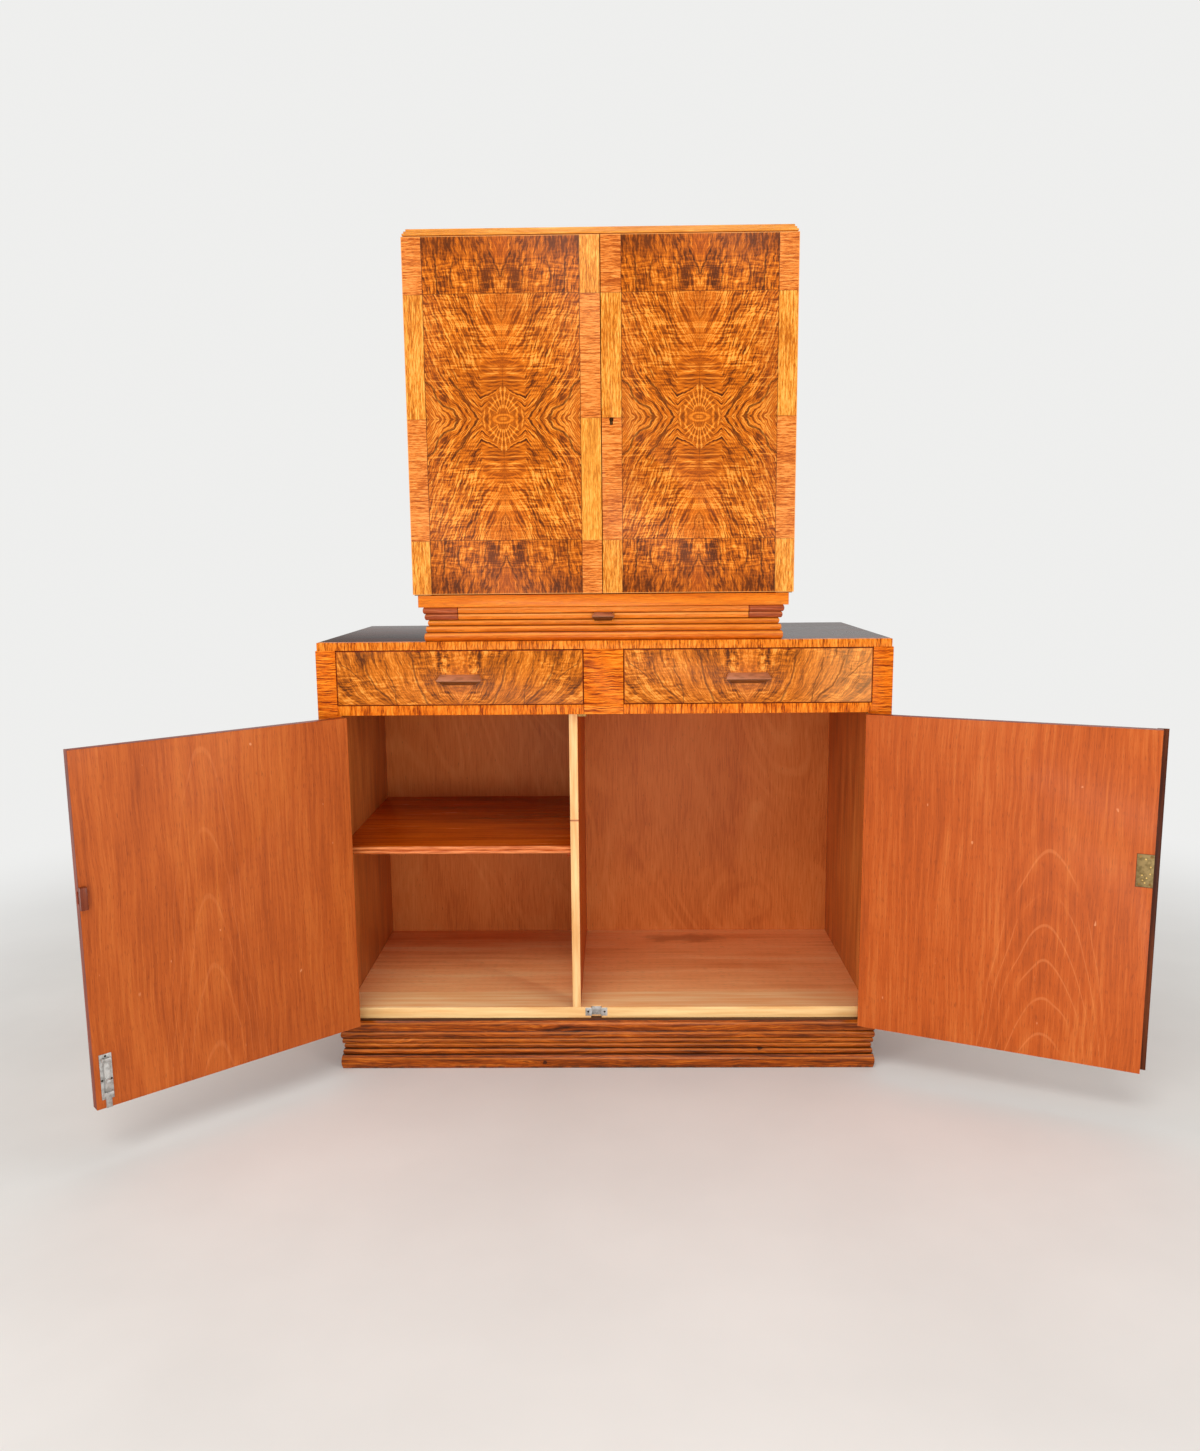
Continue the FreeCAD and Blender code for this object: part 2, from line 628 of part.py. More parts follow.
def make_hinge(side):
    """Continuous hinge: the fixed leaf carries the pin, the other leaf swings with the door."""
    word = side_name(side)
    frame = word + "_door"
    axis = at_side(side, "hinge_x")
    step = "(door_head - door_foot) / " + str(knuckle_total)
    leaves = {"fixed": on_side(side, "hinge_stile_inner - leaf_thick", "hinge_stile_inner"),
              "moving": on_side(side, "door_outer", "door_outer + leaf_thick")}
    shapes = {}
    for turn, leaf in enumerate(("fixed", "moving")):
        name = f"hinge_{word}_{leaf}"
        items = [slab(name + "_leaf", *leaves[leaf], "0", "leaf_width", "door_foot", "door_head")]
        for number in range(turn, knuckle_total, 2):
            low = f"door_foot + {number} * {step} + knuckle_space / 2"
            high = f"door_foot + {number + 1} * {step} - knuckle_space / 2"
            items.append(upright(f"{name}_knuckle_{number}", axis, "hinge_y", low, high, "knuckle_radius"))
            items.append(slab(f"{name}_neck_{number}", *leaves[leaf], "hinge_y", "knuckle_air", low, high))
        shapes[leaf] = items
    pin = upright(f"hinge_{word}_pin", axis, "hinge_y", "door_foot", "door_head", "hinge_pin_radius")
    keep(f"hinge_fixed_{word}", fuse(f"hinge_{word}_fixed_fuse", shapes["fixed"] + [pin]))
    bore = upright(f"hinge_{word}_bore", axis, "hinge_y", "door_foot - overrun", "door_head + overrun",
                   "hinge_pin_radius + pin_air")
    blank = fuse(f"hinge_{word}_moving_fuse", shapes["moving"])
    keep(f"hinge_leaf_{word}", cut(f"hinge_{word}_moving_cut", blank, [bore], frame))


def keyhole(name, x, z, y0, y1, grow):
    """Round hole with a slot below it, larger all round by grow."""
    head = deep(name + "_round", x, y0, y1, z, f"key_radius + {grow}")
    slot = slab(name + "_slot", f"{x} - key_slot_wide / 2 - {grow}", f"{x} + key_slot_wide / 2 + {grow}",
                y0, y1, f"{z} - key_slot_high - {grow}", z)
    return [head, slot]


def lock_boxes(name, z, grow):
    """Plate, edge and case of a lock on a right-hand door, at the meeting edge."""
    low = f"{z} - lock_high / 2"
    high = f"{z} + lock_high / 2"
    start = f"door_inner - {grow}"
    plate = slab(name + "_plate", start, "door_inner + lock_wide", "door_thick - lock_plate_thick",
                 f"door_thick + {grow}", low, high)
    edge = slab(name + "_edge", start, "door_inner + lock_plate_thick", "door_thick - lock_edge_deep",
                f"door_thick + {grow}", low, high)
    case = slab(name + "_case", start, "door_inner + lock_case_wide", "door_thick - lock_case_deep",
                "door_thick - lock_plate_thick", f"{z} - lock_case_high / 2", f"{z} + lock_case_high / 2")
    return [plate, edge, case]


def make_lock(prefix, z, frame=None):
    blank = fuse(f"{prefix}_lock_blank", lock_boxes(f"{prefix}_lock", z, "0"))
    near = "door_thick - lock_bolt_in"
    far = near + " - lock_bolt_thick"
    slot = slab(f"{prefix}_lock_slot", "door_inner - overrun",
                "door_inner + lock_bolt_rest + lock_bolt_long + lock_bolt_air",
                f"{far} - lock_bolt_air", f"{near} + lock_bolt_air",
                f"{z} - lock_bolt_high / 2 - lock_bolt_air", f"{z} + lock_bolt_high / 2 + lock_bolt_air")
    keep(f"{prefix}_lock", cut(f"{prefix}_lock_cut", blank, [slot], frame))
    keep(f"{prefix}_lock_bolt", slab(f"{prefix}_lock_bolt_box", "door_inner + lock_bolt_rest",
                                     "door_inner + lock_bolt_rest + lock_bolt_long", far, near,
                                     f"{z} - lock_bolt_high / 2", f"{z} + lock_bolt_high / 2", frame))
    rim = fuse(f"{prefix}_rim_blank", keyhole(f"{prefix}_rim", "key_inset", z, "0", "key_rim_deep", "key_rim"))
    hole = keyhole(f"{prefix}_rim_hole", "key_inset", z, "-overrun", "key_rim_deep + overrun", "0")
    keep(f"{prefix}_escutcheon", cut(f"{prefix}_rim_cut", rim, hole, frame))


def lock_room(prefix, z):
    """Everything a lock and its keyhole take out of a right-hand door."""
    tools = lock_boxes(f"{prefix}_room", z, "overrun")
    tools += keyhole(f"{prefix}_room_rim", "key_inset", z, "-overrun", "key_rim_deep", "key_rim")
    tools += keyhole(f"{prefix}_room_key", "key_inset", z, "-overrun", "door_thick - lock_case_deep", "0")
    return tools


def strike_room(prefix, z):
    """Pocket in a left-hand door for the lock bolt of its neighbour."""
    near = "door_thick - lock_bolt_in + strike_air"
    far = "door_thick - lock_bolt_in - lock_bolt_thick - strike_air"
    return slab(f"{prefix}_strike", "-door_inner - strike_deep", "-door_inner + overrun", far, near,
                f"{z} - lock_bolt_high / 2 - strike_air", f"{z} + lock_bolt_high / 2 + strike_air")


def make_lower_doors():
    spans = {left: on_side(left, "door_inner", "door_outer"), right: on_side(right, "door_inner", "door_outer")}
    blank = slab("door_left_blank", *spans[left], "0", "door_thick", "door_foot", "door_head")
    plate = bolt_plate_box("bolt_plate_seat", "overrun")
    keep("lower_door_left", cut("door_left_cut", blank, [strike_room("lower", "lower_lock_z"), plate], "left_door"))
    blank = slab("door_right_blank", *spans[right], "0", "door_thick", "door_foot", "door_head")
    keep("lower_door_right", cut("door_right_cut", blank, lock_room("lower", "lower_lock_z"), "right_door"))
    base = slab("cover_strip_base", "door_inner", "strip_width - strip_over", "-strip_thick", "0",
                "door_foot", "door_head")
    lap = slab("cover_strip_lap", "-strip_over", "door_inner", "-strip_thick", "-strip_air",
               "door_foot", "door_head")
    keep("cover_strip", fuse("cover_strip_fuse", [base, lap], "right_door"))
    keep("strike_block", slab("strike_block_box", "-door_inner - block_wide", "-door_inner",
                              "door_thick", "door_thick + block_thick",
                              "lower_lock_z - block_high / 2", "lower_lock_z + block_high / 2", "left_door"))
    make_lock("lower", "lower_lock_z", "right_door")


def bolt_plate_box(name, grow):
    foot = "door_foot + bolt_plate_rise"
    return slab(name, "bolt_x - bolt_plate_wide / 2", "bolt_x + bolt_plate_wide / 2",
                "door_thick - bolt_plate_thick", f"door_thick + {grow}", foot, foot + " + bolt_plate_high")


def make_slide_bolt():
    foot = "door_foot + bolt_plate_rise"
    rod_back = "rod_face + rod_thick"
    items = [bolt_plate_box("bolt_plate_blank", "0")]
    lows = {"lower": foot + " + staple_low", "upper": foot + " + bolt_plate_high - staple_top - staple_high"}
    for word, low in lows.items():
        items.append(slab(f"staple_{word}", "bolt_x - staple_wide / 2", "bolt_x + staple_wide / 2",
                          "door_thick", f"{rod_back} + rod_air + staple_wall", low, f"{low} + staple_high"))
    channel = slab("bolt_channel", "bolt_x - rod_wide / 2 - rod_air", "bolt_x + rod_wide / 2 + rod_air",
                   "door_thick", f"{rod_back} + rod_air", "door_foot - overrun",
                   foot + " + bolt_plate_high + overrun")
    keep("bolt_plate", cut("bolt_plate_cut", fuse("bolt_plate_fuse", items), [channel], "left_door"))
    bar = slab("bolt_bar", "bolt_x - rod_wide / 2", "bolt_x + rod_wide / 2", "rod_face", rod_back,
               "rod_foot", "rod_foot + rod_long")
    knob = deep("bolt_knob", "bolt_x", rod_back, f"{rod_back} + knob_long", "rod_foot + knob_rise", "knob_radius")
    keep("door_bolt", fuse("door_bolt_fuse", [bar, knob], "left_door"))


def pull_body(name, wide, high, reach, ridge, root, top_cut, foot_cut, x, y, z):
    """Ridged bar: side outline and front outline cut each other."""
    side_points = [("0", "0"), (root, "0"), (reach, f"{ridge} - pull_nose"), (reach, ridge), ("pull_nose", high),
                   ("0", high)]
    front_points = [(foot_cut, "0"), (f"{wide} - {foot_cut}", "0"), (wide, ridge), (f"{wide} - {top_cut}", high),
                    (top_cut, high), ("0", ridge)]
    side_bar = polygon_body(name + "_side", "YZ_Plane", side_points, wide, place_at(x, y, z, angle="180"))
    front_bar = polygon_body(name + "_face", "XZ_Plane", front_points, f"2 * {reach}",
                             place_at(f"{x} - {wide} / 2", y, z))
    return common(name, [side_bar, front_bar])


def make_drawer(side):
    word = side_name(side)
    keep(f"drawer_front_{word}", slab(f"drawer_front_{word}_box", *on_side(side, "drawer_near", "drawer_far"),
                                      "0", "door_thick", "drawer_front_foot", "drawer_front_head"))
    outer = slab(f"drawer_box_{word}_outer", *on_side(side, "box_near", "box_far"),
                 "door_thick", "drawer_long", "box_foot", "box_head")
    inner = slab(f"drawer_box_{word}_inner",
                 *on_side(side, "box_near + drawer_side_thick", "box_far - drawer_side_thick"),
                 "door_thick - overrun", "drawer_long - drawer_side_thick", "box_foot - overrun",
                 "box_head + overrun")
    keep(f"drawer_box_{word}", cut(f"drawer_box_{word}_cut", outer, [inner]))
    keep(f"drawer_bottom_{word}",
         slab(f"drawer_bottom_{word}_box",
              *on_side(side, "box_near + drawer_side_thick", "box_far - drawer_side_thick"),
              "door_thick", "drawer_long - drawer_side_thick", "bottom_foot", "bottom_head"))
    keep(f"drawer_handle_{word}",
         pull_body(f"drawer_handle_{word}_bar", "pull_wide", "pull_high", "pull_reach", "pull_ridge", "pull_root",
                   "pull_top_cut", "pull_foot_cut", at_side(side, "drawer_middle"), "0",
                   "drawer_front_foot + pull_rise"))


def make_stand():
    frame = reeded_block("stand_block", stand_reeds, "reed_sag", [left, right], None,
                         "upper_reach", "0", "upper_depth", "counter_top")
    hole = slab("stand_hole_box", "-stand_hole", "stand_hole", "stand_front_wall", "upper_depth - stand_back_wall",
                "counter_top - overrun", "stand_top + overrun")
    keep("stand_frame", cut("stand_cut", frame, [hole]))
    for side in (left, right):
        word = side_name(side)
        keep(f"slide_guide_{word}",
             reeded_block(f"guide_{word}", guide_reeds, "reed_sag", [side], "guide_inner",
                          "upper_reach", "0", "upper_depth", "stand_top"))
    keep("under_board", slab("under_board_box", "-upper_reach + under_back", "upper_reach - under_back",
                             "under_back", "upper_depth", "guide_top", "upper_foot"))


def make_serving_slide():
    back = "reed_one_back + slide_front_deep"
    front = reed_body("slide_front", slide_reeds, "reed_sag", back, "2 * slide_half",
                      place_at("0", back, "slide_foot", angle="180"))
    board = slab("slide_board", "-slide_half", "slide_half", back, "slide_long", "slide_foot",
                 "slide_foot + slide_board_thick")
    seat_face = "reed_two_back + reed_sag"
    tab_foot = "slide_foot - tab_drop"
    seat = slab("slide_seat", "-tab_wide / 2", "tab_wide / 2", "-overrun", seat_face,
                "slide_foot - overrun", f"{tab_foot} + tab_high")
    keep("serving_slide", cut("slide_cut", fuse("slide_fuse", [front, board]), [seat]))
    keep("slide_handle", pull_body("slide_handle_bar", "tab_wide", "tab_high", "tab_reach", "tab_ridge", "tab_root",
                                   "pull_top_cut", "tab_foot_cut", "0", seat_face, tab_foot))


def make_upper_case():
    for side in (left, right):
        word = side_name(side)
        keep(f"upper_side_{word}", slab(f"upper_side_{word}_box", *on_side(side, "upper_inner", "upper_half"),
                                        "front_zone", "upper_depth", "upper_foot", "upper_head"))
    inside = ("-upper_inner", "upper_inner", "front_zone", "upper_depth - back_thick")
    keep("upper_bottom", slab("upper_bottom_box", *inside, "upper_foot", "upper_foot + upper_board_thick"))
    keep("upper_top", slab("upper_top_box", *inside, "upper_head - upper_board_thick", "upper_head"))
    keep("upper_back", slab("upper_back_box", "-upper_inner", "upper_inner", "upper_depth - back_thick",
                            "upper_depth", "upper_foot", "upper_head"))
    shelf_foot = "upper_foot + upper_board_thick + upper_shelf_rise"
    keep("upper_shelf", slab("upper_shelf_box", "-upper_inner", "upper_inner", "front_zone + upper_shelf_inset",
                             "upper_depth - back_thick", shelf_foot, shelf_foot + " + upper_shelf_thick"))
    steps = []
    foot = "upper_head"
    for high, back in cornice_steps:
        head = f"{foot} + {high}"
        steps.append(slab(high + "_box", f"-upper_reach + {back}", f"upper_reach - {back}", back, "upper_depth",
                          foot, head))
        foot = head
    keep("cornice", fuse("cornice_fuse", steps))


def make_pivot(side, end):
    name = f"pivot_{end}_{side_name(side)}"
    axis = at_side(side, "pivot_x")
    if end == "lower":
        plate_z = ("upper_foot", "upper_foot + pivot_plate_thick")
        pin_z = ("upper_foot", "upper_foot + pivot_plate_thick + pivot_pin_long")
    else:
        plate_z = ("upper_head - pivot_plate_thick", "upper_head")
        pin_z = ("upper_head - pivot_plate_thick - pivot_pin_long", "upper_head")
    plate = slab(name + "_plate", *on_side(side, "pivot_x + pivot_over - pivot_plate_long", "pivot_x + pivot_over"),
                 "pivot_y - pivot_plate_wide / 2", "pivot_y + pivot_plate_wide / 2", *plate_z)
    pin = upright(name + "_pin", axis, "pivot_y", *pin_z, "pivot_radius")
    keep(name, fuse(name + "_fuse", [plate, pin]))


def make_upper_door(side):
    """Slab whose hinge edge is rounded at the back about the pivot, so that it turns clear of the case."""
    word = side_name(side)
    name = f"upper_door_{word}"
    axis = at_side(side, "pivot_x")
    ends = ("upper_door_foot", "upper_door_head")
    items = [
        slab(name + "_main", *on_side(side, "door_inner", "pivot_x"), "0", "door_thick", *ends),
        slab(name + "_edge", *on_side(side, "pivot_x", "upper_reach"), "0", "pivot_y", *ends),
        upright(name + "_round", axis, "pivot_y", *ends, "pivot_inset"),
    ]
    bore = "pivot_radius + pin_air"
    reach = "pivot_pin_long + pivot_air"
    tools = [
        upright(name + "_bore_lower", axis, "pivot_y", "upper_door_foot - overrun",
                f"upper_door_foot + {reach}", bore),
        upright(name + "_bore_upper", axis, "pivot_y", f"upper_door_head - ({reach})",
                "upper_door_head + overrun", bore),
    ]
    if side == right:
        tools += lock_room("upper", "upper_lock_z")
    else:
        tools.append(strike_room("upper", "upper_lock_z"))
    keep(name, cut(name + "_cut", fuse(name + "_blank", items), tools))


def check_everything():
    """Stop when any object is invalid or any sub-part is not one sound solid."""
    for item in doc.Objects:
        if "Invalid" in item.State or "Error" in item.State:
            raise RuntimeError(f"{item.Name} is {item.State}")
    for label, item in parts:
        shape = item.Shape
        if shape.isNull() or not shape.isValid() or len(shape.Solids) != 1:
            raise RuntimeError(f"{label} is not one sound solid")


def write_parts():
    os.makedirs("parts", exist_ok=True)
    for label, item in parts:
        item.Shape.exportStep(f"parts/{label}.step")
        box = item.Shape.BoundBox
        print(f"{label:22s} x {box.XMin:8.1f} {box.XMax:8.1f}  y {box.YMin:8.1f} {box.YMax:8.1f}"
              f"  z {box.ZMin:8.1f} {box.ZMax:8.1f}  volume {item.Shape.Volume / 1000:10.1f}")
    print(len(parts), "sub-parts")


fill_sheet()
make_plinth()
make_bottom_board()
make_bolt_keep()
make_carcass()
make_counter()
make_shelf()
make_lower_doors()
make_hinge(left)
make_hinge(right)
make_slide_bolt()
make_drawer(left)
make_drawer(right)
make_stand()
make_serving_slide()
make_upper_case()
for pivot_side in (left, right):
    make_upper_door(pivot_side)
    for pivot_end in ("lower", "upper"):
        make_pivot(pivot_side, pivot_end)
make_lock("upper", "upper_lock_z")
doc.recompute()
check_everything()
write_parts()
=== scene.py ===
import json
import math

import bmesh
import bpy
from mathutils import Matrix, Vector

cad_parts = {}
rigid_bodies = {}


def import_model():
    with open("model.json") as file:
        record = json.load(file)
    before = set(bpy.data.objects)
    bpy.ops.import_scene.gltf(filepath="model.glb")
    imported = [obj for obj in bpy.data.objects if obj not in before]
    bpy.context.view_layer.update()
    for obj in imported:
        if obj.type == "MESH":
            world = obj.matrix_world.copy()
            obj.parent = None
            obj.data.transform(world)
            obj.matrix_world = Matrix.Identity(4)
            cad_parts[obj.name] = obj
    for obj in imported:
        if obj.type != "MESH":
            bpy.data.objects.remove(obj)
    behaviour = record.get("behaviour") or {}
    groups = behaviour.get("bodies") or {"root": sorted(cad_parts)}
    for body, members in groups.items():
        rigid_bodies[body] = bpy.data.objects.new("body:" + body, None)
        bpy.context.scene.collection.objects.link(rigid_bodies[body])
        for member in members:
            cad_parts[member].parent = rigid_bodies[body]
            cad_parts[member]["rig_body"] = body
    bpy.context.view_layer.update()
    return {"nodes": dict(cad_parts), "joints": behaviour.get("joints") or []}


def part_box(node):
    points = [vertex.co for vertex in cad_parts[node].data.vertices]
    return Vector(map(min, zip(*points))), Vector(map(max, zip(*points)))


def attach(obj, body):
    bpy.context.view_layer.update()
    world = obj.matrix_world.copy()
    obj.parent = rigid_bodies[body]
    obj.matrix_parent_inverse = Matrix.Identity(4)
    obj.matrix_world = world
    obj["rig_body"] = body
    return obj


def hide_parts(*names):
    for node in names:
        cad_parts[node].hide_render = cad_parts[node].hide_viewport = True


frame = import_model()
nodes = frame["nodes"]
scene = bpy.context.scene
print("frame loaded:", len(nodes), "nodes")


# helpers for the finishes
def paint(colour):
    # three screen values of 0-255 to a linear colour; a socket or a linear colour passes as it is
    if isinstance(colour, Term) or len(colour) == 4:
        return colour
    shares = [part / 255 for part in colour]
    linear = [share / 12.92 if share <= 0.04045 else ((share + 0.055) / 1.055) ** 2.4 for share in shares]
    return (*linear, 1.0)


def darker(colour, share):
    # share of each of the three screen values
    return tuple(part * share for part in colour)


class Term:
    # one output socket of a finish; sums on it add Math nodes
    def __init__(self, finish, socket):
        self.finish = finish
        self.socket = socket

    def __add__(self, other):
        return self.finish.maths("ADD", self, other)

    __radd__ = __add__

    def __sub__(self, other):
        return self.finish.maths("SUBTRACT", self, other)

    def __rsub__(self, other):
        return self.finish.maths("SUBTRACT", other, self)

    def __mul__(self, other):
        return self.finish.maths("MULTIPLY", self, other)

    __rmul__ = __mul__

    def __truediv__(self, other):
        return self.finish.maths("DIVIDE", self, other)

    def __rtruediv__(self, other):
        return self.finish.maths("DIVIDE", other, self)

    def __abs__(self):
        return self.finish.maths("ABSOLUTE", self)

    def above(self, edge):
        return self.finish.maths("GREATER_THAN", self, edge)

    def below(self, edge):
        return self.finish.maths("LESS_THAN", self, edge)

    def least(self, other):
        return self.finish.maths("MINIMUM", self, other)

    def most(self, other):
        return self.finish.maths("MAXIMUM", self, other)

    def wave(self):
        # sine wave from 0 to 1
        return self.finish.maths("SINE", self) * 0.5 + 0.5

    def rise(self, start, end):
        # smooth step from 0 at start to 1 at end
        return self.finish.add("ShaderNodeMapRange", {"interpolation_type": "SMOOTHSTEP"},
                               {0: self, 1: start, 2: end, 3: 0.0, 4: 1.0})

    def line(self, middle, half):
        # 1 within half of the middle, fading out at twice that
        return 1 - abs(self - middle).rise(half, half * 2)


class Finish:
    # a material or world, and the calls that add its nodes
    def __init__(self, name, kind="materials"):
        self.material = getattr(bpy.data, kind).new(name)
        self.material.use_nodes = True
        self.tree = self.material.node_tree
        self.tree.nodes.clear()

    def add(self, kind, settings=None, inputs=None, output=0):
        node = self.tree.nodes.new(kind)
        for key, setting in (settings or {}).items():
            if key == "stops":
                self.setStops(node.color_ramp, setting)
            else:
                setattr(node, key, setting)
        for key, given in (inputs or {}).items():
            if isinstance(given, Term):
                self.tree.links.new(given.socket, node.inputs[key])
            else:
                node.inputs[key].default_value = given
        return Term(self, node.outputs[output])

    def setStops(self, ramp, stops):
        while len(ramp.elements) < len(stops):
            ramp.elements.new(0.5)
        for element, (place, colour) in zip(ramp.elements, stops):
            element.position = place
            element.color = colour

    def maths(self, operation, *values):
        return self.add("ShaderNodeMath", {"operation": operation}, dict(enumerate(values)))

    def vector(self, x, y, z):
        return self.add("ShaderNodeCombineXYZ", None, {0: x, 1: y, 2: z})

    def parts(self, vector):
        node = self.add("ShaderNodeSeparateXYZ", None, {0: vector}).socket.node
        return [Term(self, socket) for socket in node.outputs]

    def place(self, shift=(0, 0, 0), turn=0.0):
        # object coordinates, turned about Z and then shifted
        spot = self.add("ShaderNodeTexCoord", output=3)
        if turn or any(shift):
            spot = self.add("ShaderNodeMapping", {"vector_type": "POINT"},
                            {"Vector": spot, "Location": shift, "Rotation": (0, 0, turn)})
        return self.parts(spot)

    def facing(self):
        # object normal, so it stays with the piece at every pose
        return self.parts(self.add("ShaderNodeTexCoord", output=1))

    def noise(self, spot, detail=2.0, rough=0.5, distortion=0.0):
        return self.add("ShaderNodeTexNoise", {"noise_dimensions": "3D"},
                        {"Vector": self.vector(*spot), "Scale": 1.0, "Detail": detail, "Roughness": rough,
                         "Distortion": distortion})

    def drift(self, spot):
        # three noises at once, about 0, for bending a pattern
        colour = self.add("ShaderNodeTexNoise", {"noise_dimensions": "3D"},
                          {"Vector": self.vector(*spot), "Scale": 1.0, "Detail": 2.0}, output=1)
        return [part - 0.5 for part in self.parts(colour)]

    def ramp(self, amount, places, colours):
        return self.add("ShaderNodeValToRGB", {"stops": list(zip(places, map(paint, colours)))}, {0: amount})

    def mix(self, amount, first, second):
        return self.add("ShaderNodeMix", {"data_type": "RGBA", "blend_type": "MIX"},
                        {0: amount, 6: paint(first), 7: paint(second)}, output=2)

    def spotVector(self, operation, first, second, output=0):
        return self.add("ShaderNodeVectorMath", {"operation": operation}, {0: first, 1: second}, output)

    def stroke(self, spot, points, half):
        # soft drawn line through a few points
        gap = None
        for first, second in zip(points, points[1:]):
            run = Vector((second[0] - first[0], second[1] - first[1], 0))
            away = self.spotVector("SUBTRACT", spot, (first[0], first[1], 0))
            share = self.spotVector("DOT_PRODUCT", away, tuple(run / run.length_squared), 1)
            share = share.most(0.0).least(1.0)
            near = self.add("ShaderNodeVectorMath", {"operation": "SCALE"}, {0: tuple(run), 3: share})
            length = self.spotVector("DISTANCE", away, near, 1)
            gap = length if gap is None else gap.least(length)
        return 1 - gap.rise(half * 0.4, half * 1.8)

    def reach(self, across, up):
        # distance from 0, 0
        return self.maths("SQRT", across * across + up * up)

    def oval(self, x, z, middle, size):
        # 0 at its middle, 1 on its rim
        return self.reach((x - middle[0]) / size[0], (z - middle[1]) / size[1])

    def finishOff(self, colour, rough, height, depth, metal=0.0, coat=0.0, shine=0.5):
        bump = self.add("ShaderNodeBump", None, {"Strength": 0.6, "Distance": depth, "Height": height})
        return self.end(self.add("ShaderNodeBsdfPrincipled", None, {
            "Base Color": colour, "Roughness": rough, "Metallic": metal, "Coat Weight": coat,
            "Coat Roughness": 0.12, "Specular IOR Level": shine, "Normal": bump}))

    def end(self, shader, kind="ShaderNodeOutputMaterial"):
        output = self.tree.nodes.new(kind)
        self.tree.links.new(shader.socket, output.inputs[0])
        return self.material


# where things are
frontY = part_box("drawer_front_left")[0].y  # plane of the drawer fronts
hinges = {joint["child"]: joint for joint in frame["joints"] if joint["type"] == "hinge"}
doorTurns = {"left_door": math.radians(137.8), "right_door": math.radians(-155.8)}


def shutPlace(finish, body):
    # coordinates of a lower door as if it were shut
    turn = doorTurns[body]
    hinge = Vector(hinges[body]["pos_m"])
    flat = Vector((hinge.x, hinge.y, 0))
    shift = flat - Matrix.Rotation(turn, 3, "Z") @ flat
    return finish.place(tuple(shift), turn)


# wood
fineGrain = {
    # repeats for each metre, across and along
    "fibre": (620, 14),
    "pore": (1100, 60),
}


def woodGrain(finish, along, across, deep, size):
    # slow tone, streaks, fine fibres and short open pores
    bend = finish.noise((across * 7, along * 1.6, deep * 7), 2.0) * size["bend"]
    across = across + bend
    tones, streaks = size["tone"], size["streak"]
    tone = finish.noise((across * tones, along * tones * 0.14, deep * tones), 2.0)
    streak = finish.noise((across * streaks, along * streaks * 0.03, deep * streaks), 4.0, 0.62)
    fibres, fibreRun = fineGrain["fibre"]
    fibre = finish.noise((across * fibres, along * fibreRun, deep * fibres), 2.0)
    pores, poreRun = fineGrain["pore"]
    pore = finish.noise((across * pores, along * poreRun, deep * pores), 1.0)
    return tone, streak, fibre, pore


def plainWood(name, colours, axes, size=None, rough=0.38, coat=0.04, shine=0.2, extra=None):
    # axes names which of x, y, z runs along, across and through the grain; extra adds what one piece shows
    finish = Finish(name)
    x, y, z = finish.place()
    by = {"x": x, "y": y, "z": z}
    along, across, deep = (by[axis] for axis in axes)
    size = {"bend": 0.006, "tone": 22, "streak": 130, **(size or {})}
    tone, streak, fibre, pore = woodGrain(finish, along, across, deep, size)
    mixed = tone * 0.45 + streak * 0.4 + fibre * 0.15
    colour = finish.ramp(mixed, (0.36, 0.5, 0.63), colours)
    colour = finish.mix(pore.rise(0.62, 0.72) * 0.45, colour, darker(colours[0], 0.55))
    if extra:
        colour = extra(finish, colour, x, y, z)
    roughness = fibre * 0.12 + tone * 0.08 + (rough - 0.1)
    return finish.finishOff(colour, roughness, fibre * 0.5 + pore * -0.5, 0.0001, coat=coat, shine=shine)


def bandField(finish, along, across, deep):
    # cross-banding: short flecks and broken stripes
    stripe = finish.noise((along * 10, across * 320, deep * 60), 3.0, 0.6)
    fleck = finish.noise((along * 70, across * 760, deep * 200), 3.0, 0.7)
    cloud = finish.noise((along * 14, across * 26, deep * 12), 2.0)
    return (stripe - 0.5) * 0.5 + (fleck - 0.5) * 1.05 + (cloud - 0.5) * 0.25 + 0.5, fleck


banding = {
    "stops": (0.36, 0.5, 0.66),
    "level": ((162, 74, 18), (224, 122, 42), (248, 164, 82)),
    "upright": ((178, 92, 16), (232, 140, 40), (252, 188, 90)),
    "joints": (1.029, 1.2455, 1.4595),  # heights where the four blocks beside a panel meet
    "swapped": -0.0375,  # from here to the middle the blocks are turned the other way
    "palest": (250, 176, 72),
    "line": (70, 32, 12),
}


burl = {
    "middleX": 0.176,  # middle of each upper door's panel
    "halfWide": 0.139,
    "middleZ": 1.2455,
    "halfHigh": 0.215,  # to the header and footer joints
    "lean": (0.40, 0.38),  # how far the figure leans out, and how much more below the bend
    "bendAt": 0.075,
    "fanStart": 0.070,
    "fanHalf": 0.040,
    "eyeWide": 0.035,
    "eyeHigh": 0.050,
    "joint": 0.0004,  # half width of the hair lines
    "dark": (94, 40, 0),
    "brown": (154, 72, 4),
    "middle": (202, 102, 10),
    "light": (232, 128, 26),
    "bright": (252, 170, 70),
    "vein": (54, 22, 2),
    "warm": (214, 96, 4),
    "plum": (180, 88, 36),
}

